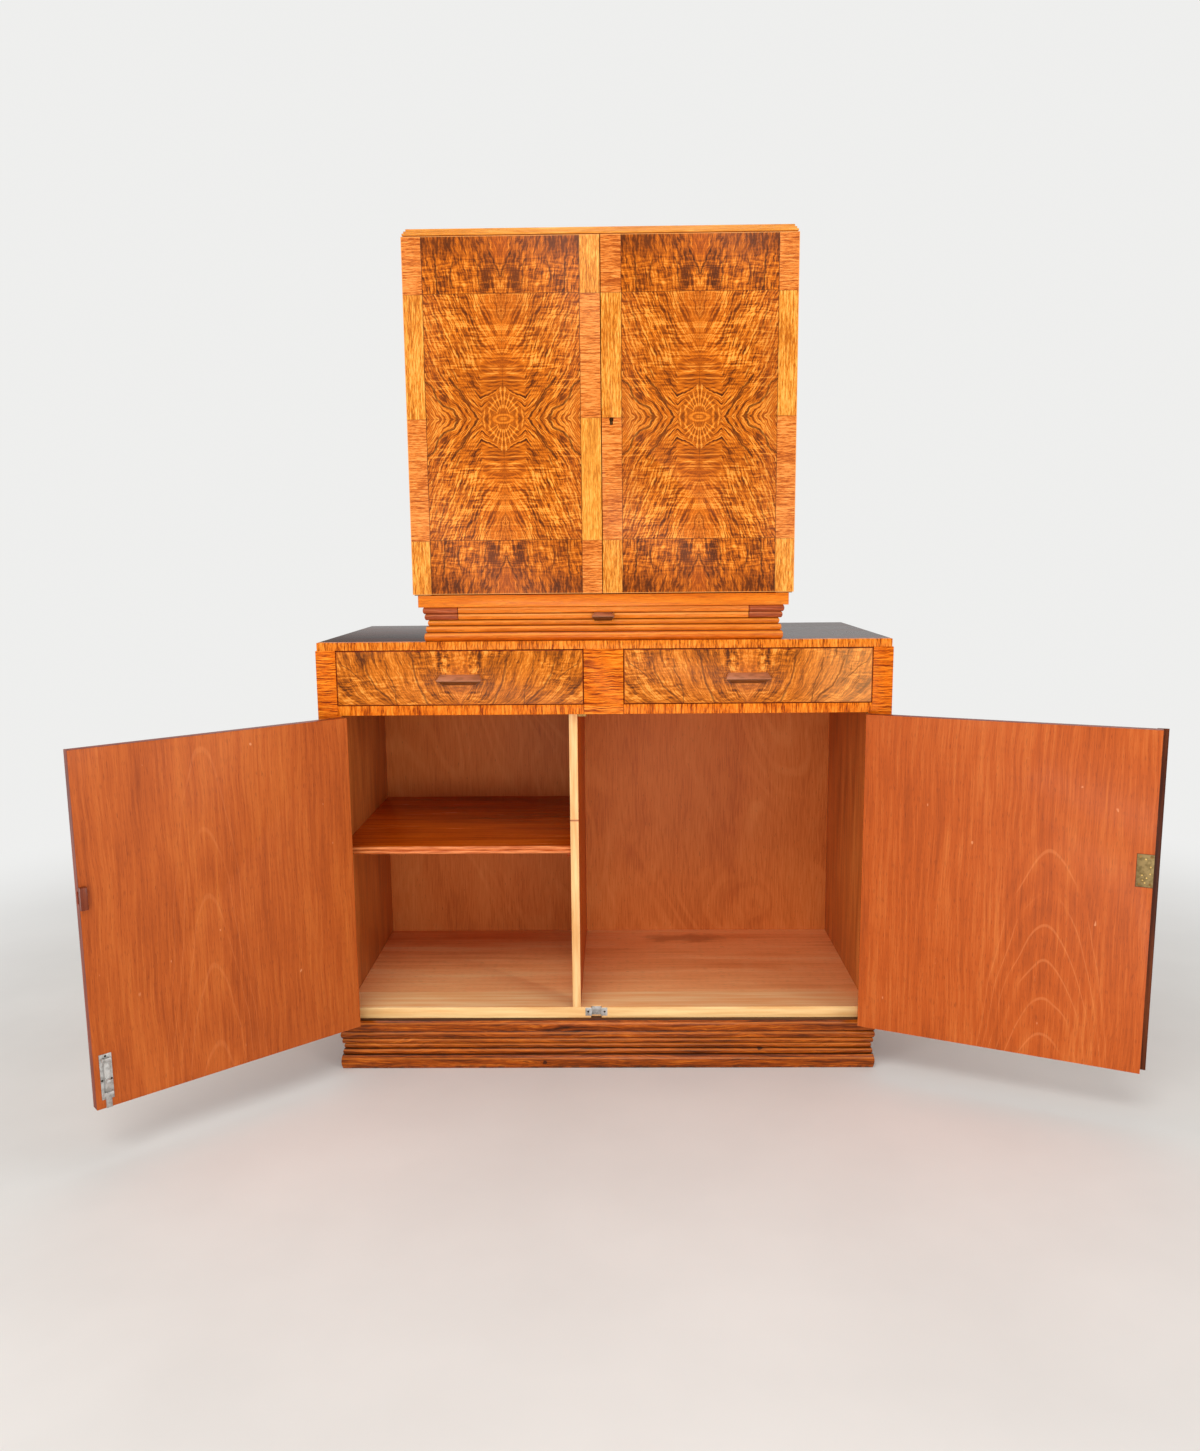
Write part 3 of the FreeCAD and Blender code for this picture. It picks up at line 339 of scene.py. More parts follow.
veinRuns = [
    # dark veins of one quarter leaf: places from the panel's middle, and half their width
    (((0.136, 0.067), (0.122, 0.055), (0.116, 0.036), (0.104, 0.024), (0.090, 0.016),
      (0.081, -0.002)), 0.0015),
    (((0.094, 0.072), (0.082, 0.058), (0.070, 0.041), (0.059, 0.023), (0.049, 0.004)), 0.0013),
    (((0.110, 0.150), (0.116, 0.178), (0.122, 0.212)), 0.0008),
    (((0.046, 0.140), (0.059, 0.166), (0.070, 0.192)), 0.0007),
    (((0.0, 0.048), (0.0, 0.068)), 0.0007),
]

headMarks = {
    # ovals of the header and footer: middle, from the middle line and the joint, and half size
    "knot": ((0.063, 0.032), (0.021, 0.019)),
    "patch": ((0.0275, 0.022), (0.0085, 0.029)),
    "light": ((0.0, 0.020), (0.015, 0.026)),
}

headRuns = [
    # their veins, with heights from the joint
    (((0.0, 0.029), (0.010, 0.050), (0.019, 0.068)), 0.0013),
    (((0.022, 0.004), (0.017, 0.026), (0.018, 0.048)), 0.0010),
    (((0.033, 0.002), (0.039, 0.020), (0.040, 0.044), (0.046, 0.058)), 0.0009),
    (((0.108, -0.002), (0.114, 0.014), (0.113, 0.036), (0.117, 0.066)), 0.0013),
    (((0.086, 0.010), (0.090, 0.030), (0.084, 0.052)), 0.0010),
]


def toneRamp(finish, tone, wood, low=0.30, high=0.70):
    places = [low + (high - low) / 4 * index for index in range(5)]
    return finish.ramp(tone, places, [wood[name] for name in ("dark", "brown", "middle", "light", "bright")])


def leafColour(finish, side, rise, slow, mid, quick):
    # streaks run out and up from the middle line, with ripples across them
    bentSide = side + slow[0] * 0.018 + mid[0] * 0.007 + quick[0] * 0.0036
    bentRise = rise + slow[1] * 0.018 + mid[1] * 0.007 + quick[1] * 0.0036
    squeeze = bentSide.least(burl["fanHalf"]).most(0.0) * 0.7 + 0.3 * burl["fanHalf"]
    high = (bentRise - burl["fanStart"]) * burl["fanHalf"] / squeeze + burl["fanStart"]
    lean = high * burl["lean"][0] + finish.maths("SMOOTH_MIN", high, burl["bendAt"], 0.03) * burl["lean"][1]
    flow = (bentSide - burl["fanHalf"]).most(0.0) - lean
    along = bentSide * 0.42 + bentRise * 0.91
    streak = finish.noise((flow * 300, along * 32, 0.0), 3.0, 0.6)
    broad = finish.noise((flow * 62, along * 9, 3.0), 2.0, 0.5)
    thin = finish.noise((flow * 620, along * 90, 8.0), 2.0, 0.6)
    dash = finish.noise((flow * 250, along * 24, 17.0), 2.0, 0.55)
    ripple = finish.noise((side * 24, (rise + slow[2] * 0.014 + mid[1] * 0.005) * 290, 5.0), 2.0, 0.5)
    level = finish.noise((rise * 260 + mid[2] * 1.2, side * 13, 6.0), 2.0, 0.6)
    patch = finish.noise((side * 20, rise * 24, 9.0), 2.0)
    rippled = rise.rise(0.03, 0.06) * (1 - rise.rise(0.195, 0.225) * 0.3)
    rippled = rippled * (0.45 + patch.rise(0.35, 0.6) * 0.55)
    calm = (1 - side.rise(0.024, 0.046)) * rise.rise(0.046, 0.056) * (1 - rise.rise(0.098, 0.128))
    levelled = rise.rise(0.030, 0.045) * (1 - rise.rise(0.084, 0.110)) * (1 - side.rise(0.07, 0.105))
    spot = 1 - (finish.oval(side, rise, (0.058, 0.108), (0.019, 0.013)) + mid[2] * 1.2).rise(0.3, 1.2)
    centre = (1 - side.rise(0.022, 0.056)) * rise.rise(0.050, 0.085)
    tone = (streak - 0.5) * (1.25 - levelled * 0.5 - centre * 0.3) * (1 - calm * 0.9) + (thin - 0.5) * 0.4
    tone = tone + (ripple - 0.5) * 0.68 * rippled
    tone = tone + (broad - 0.5) * 0.46 * (1 - calm) * (1 - levelled * 0.4) + (patch - 0.5) * 0.18
    tone = (tone + (level - 0.5) * 0.38 * levelled) * 1.15 + spot * 0.11 + 0.50 - calm * 0.06
    colour = toneRamp(finish, tone, burl)
    colour = finish.mix(centre * 0.16, colour, burl["warm"])
    colour = finish.mix(side.rise(0.088, 0.125) * 0.22, colour, burl["plum"])
    open = finish.noise((side * 30, rise * 26, 27.0), 2.0)
    crest = ripple.rise(0.60, 0.66) * open.rise(0.45, 0.58) * rippled
    colour = finish.mix(crest * 0.46, colour, burl["bright"])
    vein = (1 - dash.rise(0.33, 0.41)) * (0.45 + (1 - open.rise(0.45, 0.6)) * 0.55) * side.rise(0.012, 0.04)
    spotPlace = finish.vector(bentSide, bentRise, 0.0)
    veins = vein * 0.8 * (1 - calm * 0.8)
    for points, half in veinRuns:
        veins = veins.most(finish.stroke(spotPlace, points, half) * (0.95 if half > 0.001 else 0.6))
    return finish.mix(veins * 0.8, colour, burl["vein"]), thin


def eyeColour(finish, colour, side, rise, mid, quick):
    # shell-like eye: a flat lens in the middle, spokes above and below it, crossed by arcs
    eyeX = side + mid[0] * 0.004 + quick[0] * 0.0015
    eyeZ = rise + mid[1] * 0.004 + quick[1] * 0.0015
    wide, high = eyeX / burl["eyeWide"], eyeZ / burl["eyeHigh"]
    reach = finish.reach(wide, high)
    spoke = (finish.maths("ARCTAN2", eyeX, eyeZ) * 30 + mid[2] * 5).wave()
    band = (reach * 20 + mid[0] * 6).wave()
    outer = reach.rise(0.30, 0.42) * (abs(eyeZ) - abs(eyeX) * 0.6).rise(-0.002, 0.006)
    lensReach = finish.oval(eyeX, eyeZ, (0.0, 0.0), (0.023, 0.0095))
    lens = (lensReach * 11).wave()
    inLens = 1 - lensReach.rise(0.9, 1.2)
    tone = spoke.rise(0.60, 1.0) * outer * 0.40 + band.rise(0.66, 1.0) * (0.36 - outer * 0.10)
    tone = tone + quick[2] * 0.5 + 0.27
    tone = tone + inLens * (lens * 0.34 + 0.28 - tone)
    shell = toneRamp(finish, tone, burl, 0.10, 0.74)
    mask = 1 - (reach + mid[1] * 0.6 + quick[0] * 0.5).rise(0.92, 1.10)
    return finish.mix(mask * 0.8, colour, shell)


def headColour(finish, side, rise, slow, mid, quick):
    # header and footer: upright streaks, dark patches, a knot each side and a V in the middle
    high = rise - burl["halfHigh"]
    bentSide = side + slow[2] * 0.016 + mid[1] * 0.008 + quick[0] * 0.0036 - high * 0.16
    streak = finish.noise((bentSide * 270, high * 30, 21.0), 3.0, 0.6)
    thin = finish.noise((bentSide * 620, high * 80, 24.0), 2.0)
    dash = finish.noise((bentSide * 230, high * 28, 29.0), 2.0, 0.55)
    ripple = finish.noise((bentSide * 34, high * 300 + mid[2] * 3, 26.0), 2.0)
    cloud = finish.noise((side * 24, high * 18, 31.0), 3.0)
    warpSide = side + mid[0] * 0.010 + quick[0] * 0.003
    warpHigh = high + mid[1] * 0.010 + quick[1] * 0.003
    knot = finish.oval(warpSide, warpHigh, *headMarks["knot"])
    patch = 1 - (finish.oval(warpSide, warpHigh, *headMarks["patch"]) + mid[2] * 0.8).rise(0.55, 1.2)
    light = 1 - finish.oval(warpSide, warpHigh, *headMarks["light"]).rise(0.6, 1.15)
    upper = high.rise(0.055, 0.085) * side.rise(0.016, 0.026)
    tone = (streak - 0.5) * (0.9 - patch * 0.5) + (thin - 0.5) * 0.4 + 0.445
    tone = tone - patch * 0.12 - upper * 0.05 + light * 0.06
    tone = tone + (ripple - 0.5) * 0.6 * (1 - high.rise(0.045, 0.07) * 0.7) + (cloud - 0.5) * 0.26
    tone = tone + knot.line(0.9, 0.14) * 0.07 - (1 - knot.rise(0.4, 0.7)) * 0.05
    colour = toneRamp(finish, tone, burl)
    heart = (1 - side.rise(0.011, 0.018)) * high.rise(0.045, 0.065)
    colour = finish.mix(heart * 0.25, colour, burl["warm"])
    gate = finish.noise((side * 22, high * 22, 27.0), 2.0).rise(0.42, 0.54)
    veins = (1 - dash.rise(0.33, 0.41)) * (0.4 + gate * 0.6) * 0.75
    spotPlace = finish.vector(warpSide, warpHigh, 0.0)
    for points, half in headRuns:
        veins = veins.most(finish.stroke(spotPlace, points, half) * 0.85)
    return finish.mix(veins * 0.85, colour, burl["vein"])


def burlColour(finish, x, z):
    # one quarter leaf, mirrored four ways about the panel's middle
    wobble = finish.drift((x * 30, z * 30, 4.0))
    side = abs(abs(x) - burl["middleX"] + wobble[0] * 0.002)
    rise = abs(z - burl["middleZ"] + wobble[1] * 0.002)
    slow = finish.drift((side * 12, rise * 10, 0.7))
    mid = finish.drift((side * 50, rise * 46, 2.3))
    quick = finish.drift((side * 170, rise * 150, 5.1))
    colour, thin = leafColour(finish, side, rise, slow, mid, quick)
    colour = eyeColour(finish, colour, side, rise, mid, quick)
    over = rise.above(burl["halfHigh"])
    colour = finish.mix(over, colour, headColour(finish, side, rise, slow, mid, quick))
    # leaves differ a little, and the joints show as hair lines
    tint = finish.noise((x * 11, z * 11, 1.5), 3.0)
    colour = finish.mix(tint.rise(0.42, 0.66) * 0.20, colour, burl["brown"])
    half = burl["joint"]
    joints = (side.line(0, half) * 0.25).most(rise.line(0, half) * 0.25)
    joints = joints.most(rise.line(burl["halfHigh"], half) * 0.6)
    colour = finish.mix(joints, colour, burl["vein"])
    return colour, side, rise, thin


def panelColour(finish, x, y, z):
    # burl panel with four blocks of cross-banding at each side, their grain turned block by block
    colour, side, _, grain = burlColour(finish, x, z)
    first, second, third = (z.above(height) for height in banding["joints"])
    level = first - second + third
    swapped = x.above(banding["swapped"]) * x.below(0.0)
    level = level + swapped * (1 - level * 2)
    levelField, fleck = bandField(finish, x, z, y)
    uprightField, _ = bandField(finish, z, x, y)
    upright = finish.ramp(uprightField, banding["stops"], banding["upright"])
    blocks = finish.mix(level, upright, finish.ramp(levelField, banding["stops"], banding["level"]))
    blocks = finish.mix(swapped * first * (1 - second) * 0.2, blocks, banding["palest"])
    outside = side.above(burl["halfWide"])
    colour = finish.mix(outside, colour, blocks)
    low, middle, high = (z.line(height, 0.0003) for height in banding["joints"])
    border = side.line(burl["halfWide"], burl["joint"]) * 0.75
    lines = (low.most(middle).most(high) * outside * 0.6).most(border)
    return finish.mix(lines, colour, banding["line"]), grain, fleck, uprightField


upperDoor = {
    "skin": 0.0012,  # depth of the veneered front
    "innerFace": 0.0182,  # both from the plane of the fronts
    "inside": ((156, 70, 20), (200, 104, 38), (224, 134, 62)),
    "rims": (0.3487, 1.5563, 0.9337),  # painted highlight along the door's outer edges past these: aside, above and below
    "rim": (244, 168, 92),
    "keyhole": ((0.0185, 1.2447), (0.0066, 0.0010)),  # middle and half size of the dark wings across it
    "keyholeDark": (44, 20, 14),
}


def upperDoorFinish():
    finish = Finish("walnutBurlDoor")
    x, y, z = finish.place()
    colour, grain, fleck, uprightField = panelColour(finish, x, y, z)
    # edges and the inner face are plain straight wood
    front = y.below(frontY + upperDoor["skin"])
    edge = finish.ramp(uprightField, banding["stops"], banding["level"])
    tone, streak, fibre, _ = woodGrain(finish, z, x, y, {"bend": 0.008, "tone": 24, "streak": 170})
    inside = y.above(frontY + upperDoor["innerFace"])
    veneer = finish.ramp(tone * 0.4 + streak * 0.4 + fibre * 0.2, (0.36, 0.5, 0.64), upperDoor["inside"])
    colour = finish.mix(front, finish.mix(inside, edge, veneer), colour)
    aside, above, below = upperDoor["rims"]
    # painted highlight: the door's outer edges are drawn paler, as light catching the rounded arris
    rim = abs(x).above(aside).most(z.above(above)).most(z.below(below)) * (1 - inside)
    colour = finish.mix(rim * 0.7, colour, upperDoor["rim"])
    wings = 1 - finish.oval(x, z, *upperDoor["keyhole"]).rise(0.5, 1.2)
    colour = finish.mix(wings * front * 0.75, colour, upperDoor["keyholeDark"])
    height = grain * 0.5 + fleck * 0.5
    return finish.finishOff(colour, grain * 0.1 + 0.26, height, 0.00012, coat=0.02, shine=0.12)


drawerWood = {
    "middleX": 0.2681,
    "halfWide": 0.2301,
    "foot": 0.727,
    "top": 0.8288,
    "line": 0.0009,  # half width of the painted shade line in the gap round a front
    "sweep": 0.050,  # how far a streak leans out from foot to top
    "settle": 0.045,
    "triangle": 0.72,  # half its width for each unit of height
    "dark": (92, 42, 2),
    "brown": (144, 72, 6),
    "middle": (192, 100, 12),
    "light": (222, 126, 32),
    "bright": (244, 162, 68),
    "vein": (66, 30, 8),
    "warm": (214, 112, 24),
    # paler colour of the painted reflection at the right end of the right drawer
    "wearAndSheen": (255, 192, 124),
    "plain": ((190, 92, 20), (224, 128, 48)),
    # colour of the painted shade in the gap round a front
    "edge": (116, 20, 8),
}

drawerRuns = [
    # dark veins of one half: places from the middle and the foot, and half their width
    (((0.1185, 0.001), (0.122, 0.027), (0.126, 0.044), (0.137, 0.062), (0.139, 0.084)), 0.0009),
    (((0.122, -0.001), (0.136, 0.016), (0.158, 0.033), (0.170, 0.054), (0.178, 0.080)), 0.0012),
    (((0.172, 0.036), (0.186, 0.051), (0.202, 0.064), (0.220, 0.076)), 0.0008),
    (((0.060, 0.0), (0.067, 0.016), (0.077, 0.036), (0.084, 0.060), (0.090, 0.098)), 0.0016),
]


def drawerFinish():
    # one half drawn, mirrored about the middle of each drawer
    finish = Finish("crownWalnut")
    x, _, z = finish.place()
    fromMiddle = abs(x) - drawerWood["middleX"]
    side = abs(fromMiddle)
    high = z - drawerWood["foot"]
    apart = fromMiddle.above(0.0) * 0.6 + x.above(0.0) * 0.23  # the halves match closely, not exactly
    slow = finish.drift((side * 11, high * 11, 3.0 + apart * 0.2))
    mid = finish.drift((side * 55, high * 50, 6.0 + apart))
    quick = finish.drift((side * 190, high * 170, 9.0 + apart))
    bentSide = side + slow[0] * 0.016 + mid[0] * 0.007 + quick[0] * 0.0034
    bentHigh = (high + slow[1] * 0.010 + mid[1] * 0.006 + quick[1] * 0.003).most(0.0)
    sweep = bentHigh / (bentHigh + drawerWood["settle"]) * drawerWood["sweep"]
    flow = bentSide - sweep * (bentSide * 4 + 1)
    flame = finish.noise((flow * 44, bentHigh * 9, 1.0), 3.0, 0.55)
    streak = finish.noise((flow * 230, bentHigh * 17, 6.0), 3.0, 0.62)
    thin = finish.noise((flow * 560, bentHigh * 90, 4.0), 2.0)
    dash = finish.noise((flow * 200, bentHigh * 13, 14.0), 2.0, 0.55)
    ripple = finish.noise((side * 50 + mid[2], bentHigh * 240, 2.0), 2.0)
    cloud = finish.noise((x * 9 + 3, z * 14, 4.0), 2.0)
    rippled = cloud.rise(0.42, 0.6) * 0.55 + 0.2
    above = high.rise(0.045, 0.060) * (1 - side.rise(0.030, 0.046))
    tone = (flame - 0.5) * 0.48 + (streak - 0.5) * 0.65 + (thin - 0.5) * 0.4 + (ripple - 0.5) * rippled * 0.9
    tone = tone + (cloud - 0.5) * 0.3 + 0.51 + above * (quick[2] * 0.7 + 0.04)
    band = 1 - abs(side - 0.039 + mid[0] * 0.010 - (high - 0.052).least(0.0) * 0.55).rise(0.001, 0.008)
    tone = tone - band * 0.09
    colour = toneRamp(finish, tone, drawerWood)
    heart = (1 - side.rise(0.014, 0.022)) * high.rise(0.045, 0.055)
    colour = finish.mix(heart * 0.45, colour, drawerWood["warm"])
    # painted reflection: the right end of the right drawer is drawn paler, as a sheen of light
    colour = finish.mix(x.rise(0.34, 0.46) * 0.22, colour, drawerWood["wearAndSheen"])
    gate = finish.noise((flow * 30, bentHigh * 26, 24.0), 2.0).rise(0.42, 0.56)
    veins = (1 - dash.rise(0.32, 0.41)) * (0.3 + gate * 0.7) * 0.75
    spotPlace = finish.vector(side + mid[0] * 0.006 + quick[0] * 0.003, high + mid[1] * 0.006, 0.0)
    for points, half in drawerRuns:
        veins = veins.most(finish.stroke(spotPlace, points, half) * 0.75)
    colour = finish.mix(veins * 0.8, colour, drawerWood["vein"])
    # plain triangle below the handle, standing on its point
    offSide = side - high * drawerWood["triangle"]
    triangle = 1 - (offSide + mid[0] * 0.003).rise(0.0, 0.003)
    triangle = triangle * (1 - high.rise(0.050, 0.060))
    colour = finish.mix(triangle * 0.45, colour, finish.mix(thin, *drawerWood["plain"]))
    flank = (offSide + mid[0] * 0.004).line(0.0, 0.0006) * high.rise(0.0, 0.006) * (1 - high.rise(0.03, 0.05))
    colour = finish.mix(flank * 0.5, colour, drawerWood["vein"])
    # painted shade in the gap round each front
    half = drawerWood["line"]
    edge = z.line(drawerWood["foot"], half).most(z.line(drawerWood["top"], half))
    edge = edge.most(side.line(drawerWood["halfWide"], half))
    colour = finish.mix(edge * 0.8, colour, drawerWood["edge"])
    return finish.finishOff(colour, thin * 0.1 + 0.28, thin, 0.0001, coat=0.02, shine=0.13)


acrossColours = {
    "edge": ((120, 42, 0), (230, 120, 20), (252, 162, 62)),
    "rail": ((126, 42, 0), (226, 110, 8), (250, 152, 48)),
    "stile": ((112, 34, 0), (222, 102, 0), (248, 148, 38)),
    "line": (80, 36, 12),
}


def acrossFinish(name, kind, levelHalf=None, level=False):
    # cross-grained strip: grain upright, level within levelHalf of the middle or all over
    finish = Finish(name)
    x, y, z = finish.place()
    normal = finish.facing()
    ends = abs(normal[0]).above(0.7)
    run = x + ends * (y - x)
    stops = (0.34, 0.5, 0.68), acrossColours[kind]
    uprightField, fleck = bandField(finish, z, run, y + 3.0)
    wide = finish.noise((run * 60, z * 6, 1.0), 2.0)
    tick = finish.noise((run * 250, z * 30, 7.0), 2.0, 0.6)
    uprightField = uprightField * 0.8 + (wide - 0.5) * 0.22 + (tick - 0.5) * 0.5 + 0.1
    wave = finish.noise((run * 40, z * 30, 2.0), 2.0) * 0.010
    levelField, _ = bandField(finish, run, z + wave, y)
    dash = finish.noise((run * 20, (z + wave * 0.5) * 480, 5.0), 3.0, 0.6)
    levelField = levelField * 0.5 + (dash - 0.5) * 1.1 + 0.25
    colour = finish.ramp(levelField if level else uprightField, *stops)
    if levelHalf:
        colour = finish.mix(abs(x).below(levelHalf), colour, finish.ramp(levelField, *stops))
        colour = finish.mix(abs(x).line(levelHalf, 0.0003) * 0.6, colour, acrossColours["line"])
    return finish.finishOff(colour, fleck * 0.1 + 0.3, fleck, 0.0001, coat=0.01, shine=0.09)


reeds = {
    "slide": (0.8845, 0.8965, 0.9085),  # heights between the reeds of the slide and its guides
    "stand": (0.845, 0.861, 0.8733, 0.8845),
    "plinth": (0.0, 0.028, 0.040, 0.051, 0.062, 0.077, 0.100),
    # colours of the painted shade along the grooves, lighter and deeper
    "grooveShade": (104, 32, 6),
    "deepGrooveShade": (26, 9, 0),
    "scuff": (60, 32, 20),
    "chip": (40, 16, 8),
}


def reedFinish(name, colours, streaks, contrast=1.0, scuffedAndShaded=0.0, edges=()):
    # grain runs along each face of a reeded frame; edges are the heights between the reeds
    finish = Finish(name)
    x, y, z = finish.place()
    normal = finish.facing()
    ends = abs(normal[0]).above(0.75)
    flat = abs(normal[2]).above(0.75)  # on top the grain still runs along the piece
    run = x + ends * (y - x)
    rise = z + flat * (y - z)
    wander = finish.noise((run * 5, rise * 18, 2.0 + ends * 5), 3.0)
    across = rise + (wander - 0.5) * (0.036 if scuffedAndShaded else 0.012)
    slow = finish.noise((run * 3.5, across * 70, ends * 9), 3.0, 0.6)
    streak = finish.noise((run * 9, across * streaks, ends * 7), 4.0, 0.68)
    line = finish.noise((run * 14, across * streaks * 2.2, ends * 3 + 5), 3.0, 0.6)
    fibre = finish.noise((run * 40, across * 900, ends), 2.0)
    tone = (slow - 0.5) * 0.35 * contrast + (streak - 0.5) * 0.55 * contrast + (fibre - 0.5) * 0.35 + 0.5
    colour = finish.ramp(tone, (0.30, 0.45, 0.57, 0.70), colours)
    dark = (1 - abs(line - 0.45).rise(0.004, 0.030)) * streak.rise(0.42, 0.55)
    colour = finish.mix(dark * 0.45 * contrast, colour, darker(colours[0], 0.45))
    # a painted highlight runs along each crest, and painted shade along each groove and at the top and foot
    # of the reeds
    for low, high in zip(edges, edges[1:]):
        crest = z.line(low + (high - low) * 0.74, 0.0010) * (fibre * 0.5 + 0.2)
        colour = finish.mix(crest, colour, colours[3])
    for edge in edges:
        colour = finish.mix(z.line(edge, 0.0006) * 0.75, colour, reeds["deepGrooveShade" if scuffedAndShaded else "grooveShade"])
    if scuffedAndShaded:
        foot = 1 - z.rise(0.0, 0.012)
        scuff = finish.noise((run * 60, z * 120, 3.0), 3.0).rise(0.5, 0.62)
        colour = finish.mix(foot * scuff * scuffedAndShaded, colour, reeds["scuff"])
        chip = finish.noise((run * 22, z * 40, 9.0), 2.0).rise(0.75, 0.77)
        colour = finish.mix(chip * 0.8, colour, reeds["chip"])
    return finish.finishOff(colour, fibre * 0.12 + 0.26, fibre + line * 0.5, 0.00012, coat=0.06, shine=0.18)


lowerDoor = {
    "left": {
        "colours": ((148, 64, 18), (184, 88, 30), (206, 112, 46)),
        "crownMiddle": -0.21,  # from the meeting line
        "crownSteep": 74.0,
        "crownTop": 0.72,
        "ring": 0.13,  # from one crown line to the next
        "ringShare": 0.15,
        "bendAt": 1.0,  # slice of the noise that bends the grain
    },
    "right": {
        "colours": ((156, 68, 20), (190, 87, 28), (212, 116, 52)),
        "crownMiddle": 0.162,
        "crownSteep": 30.0,
        "crownTop": 0.50,
        "ring": 0.066,
        "ringShare": 0.26,
        "bendAt": 5.0,
    },
    "crown": (236, 146, 86),
    "pore": (104, 38, 16),
    "knock": (240, 170, 120),  # small ones in the polish
    "lip": ((96, 34, 16), (156, 66, 34)),
    "lipFrom": 0.0004,  # depths from the show face
    "lipTo": 0.0186,
    "skin": 0.0005,
    "lockMiddle": (0.01405, 0.465),
    "lockHalf": (0.01325, 0.0285),
    "lockGapShade": (54, 20, 8),
    "panelMiddle": (0.2456, 0.404),
    "panelShare": (0.139 / 0.200, 0.312 / 0.303),  # an upper panel's size over this one's
}


def lowerDoorFinish(side):
    # inner face of a lower door, with its lipping and its matched show face
    finish = Finish(f"mahoganyDoor.{side}")
    x, y, z = shutPlace(finish, side + "_door")
    own = lowerDoor[side]
    bend = finish.drift((x * 7, z * 4, own["bendAt"]))
    # thin pale crown lines, uneven and broken, over straight grain
    off = x - own["crownMiddle"] + bend[0] * 0.03
    crownAt = z + off * off * own["crownSteep"] + bend[2] * 0.05
    ring = ((crownAt + bend[1] * 0.06) * (2 * math.pi / own["ring"])).wave()
    ringEdge = ring.rise(0.972, 1.0) * (1 - crownAt.rise(own["crownTop"], own["crownTop"] + 0.03))
    ringGate = finish.noise((x * 12, z * 9, 3.0), 2.0).rise(0.32, 0.50)
    size = {"bend": 0.01, "tone": 17, "streak": 170}
    tone, streak, fibre, pore = woodGrain(finish, z, x + bend[1] * 0.02, y, size)
    smudge = finish.noise((x * 14, z * 9, 6.0), 3.0)
    mixed = tone * 0.34 + streak * 0.40 + fibre * 0.26
    mixed = mixed + (ring - 0.5) * 0.04 * (1 - crownAt.rise(0.5, 0.7)) + (smudge - 0.5) * 0.12
    colour = finish.ramp(mixed, (0.32, 0.5, 0.68), own["colours"])
    colour = finish.mix(ringEdge * ringGate * own["ringShare"], colour, lowerDoor["crown"])
    colour = finish.mix(pore.rise(0.60, 0.70) * 0.4, colour, lowerDoor["pore"])
    knock = finish.noise((x * 55, z * 26, 8.0), 2.0).rise(0.735, 0.76)
    colour = finish.mix(knock * 0.5, colour, lowerDoor["knock"])
    if side == "right":
        # painted shade in the gap round the lock's plate, let into the wood
        (middleX, middleZ), (halfWide, halfHigh) = lowerDoor["lockMiddle"], lowerDoor["lockHalf"]
        offPlate = (abs(x - middleX) - halfWide).most(abs(z - middleZ) - halfHigh)
        line = offPlate.above(-0.001) * (1 - offPlate.rise(0.0005, 0.0013))
        colour = finish.mix(line * 0.8, colour, lowerDoor["lockGapShade"])
    # red-brown lipping round the edge
    lip = y.below(frontY + lowerDoor["lipTo"]) * y.above(frontY + lowerDoor["lipFrom"])
    colour = finish.mix(lip, colour, finish.ramp(streak, (0.35, 0.65), lowerDoor["lip"]))
    # on the show face the same matched panel as on the upper doors, fitted to this one
    (middleX, middleZ), (wideShare, highShare) = lowerDoor["panelMiddle"], lowerDoor["panelShare"]
    across = (abs(x) - middleX) * wideShare + burl["middleX"]
    upward = (z - middleZ) * highShare + burl["middleZ"]
    panel = panelColour(finish, across, y, upward)[0]
    colour = finish.mix(y.below(frontY + lowerDoor["skin"]), colour, panel)
    return finish.finishOff(colour, fibre * 0.12 + tone * 0.1 + 0.30, fibre * 0.6 - pore * 0.4, 0.0001,
                            coat=0.03, shine=0.18)


ply = {
    "colours": ((184, 94, 40), (212, 120, 56), (226, 140, 74)),
    "swirl": ((0.345, 0.185), (0.055, 0.050)),  # its middle and half size
}


def plyFinish(name):
    # rotary-cut ply: nearly plain, a few faint contour lines and a swirl
    finish = Finish(name)
    x, y, z = finish.place()
    bend = finish.drift((x * 9, z * 7, 4.0))
    land = finish.noise((x * 3.2 + z * 1.1, z * 1.0, 2.0), 2.0, 0.45, 0.4)
    contour = (land * 120).wave().rise(0.55, 1.0)
    swirl = finish.oval(x, z, *ply["swirl"]) + bend[0] * 1.5
    arcs = (swirl * 8).wave().rise(0.4, 1.0) * (1 - swirl.rise(0.9, 2.1))
    cloud = finish.noise((x * 8 + bend[1], z * 1.6, 7.0), 3.0)
    fibre = finish.noise((x * 520 + bend[0] * 4, z * 24, y * 50), 2.0)
    fleck = finish.noise((x * 420, z * 70, 9.0), 1.0)
    shown = finish.noise((x * 4, z * 4, 11.0), 2.0).rise(0.40, 0.60)
    tone = cloud * 0.50 + fibre * 0.35 + contour * shown * 0.07 - arcs * 0.035 + 0.072
    colour = finish.ramp(tone, (0.36, 0.5, 0.66), ply["colours"])
    colour = finish.mix(fleck.rise(0.68, 0.74) * 0.35, colour, darker(ply["colours"][0], 0.6))
    return finish.finishOff(colour, fibre * 0.15 + 0.42, fibre, 0.0001, shine=0.18)


# metal
leafScrews = {
    "first": 0.125,  # height of the lowest
    "pitch": 0.062,
    "behind": 0.0075,  # the plane of the fronts
    "radius": 0.0021,
    "slot": 0.00035,
    "dark": (40, 28, 16),
}


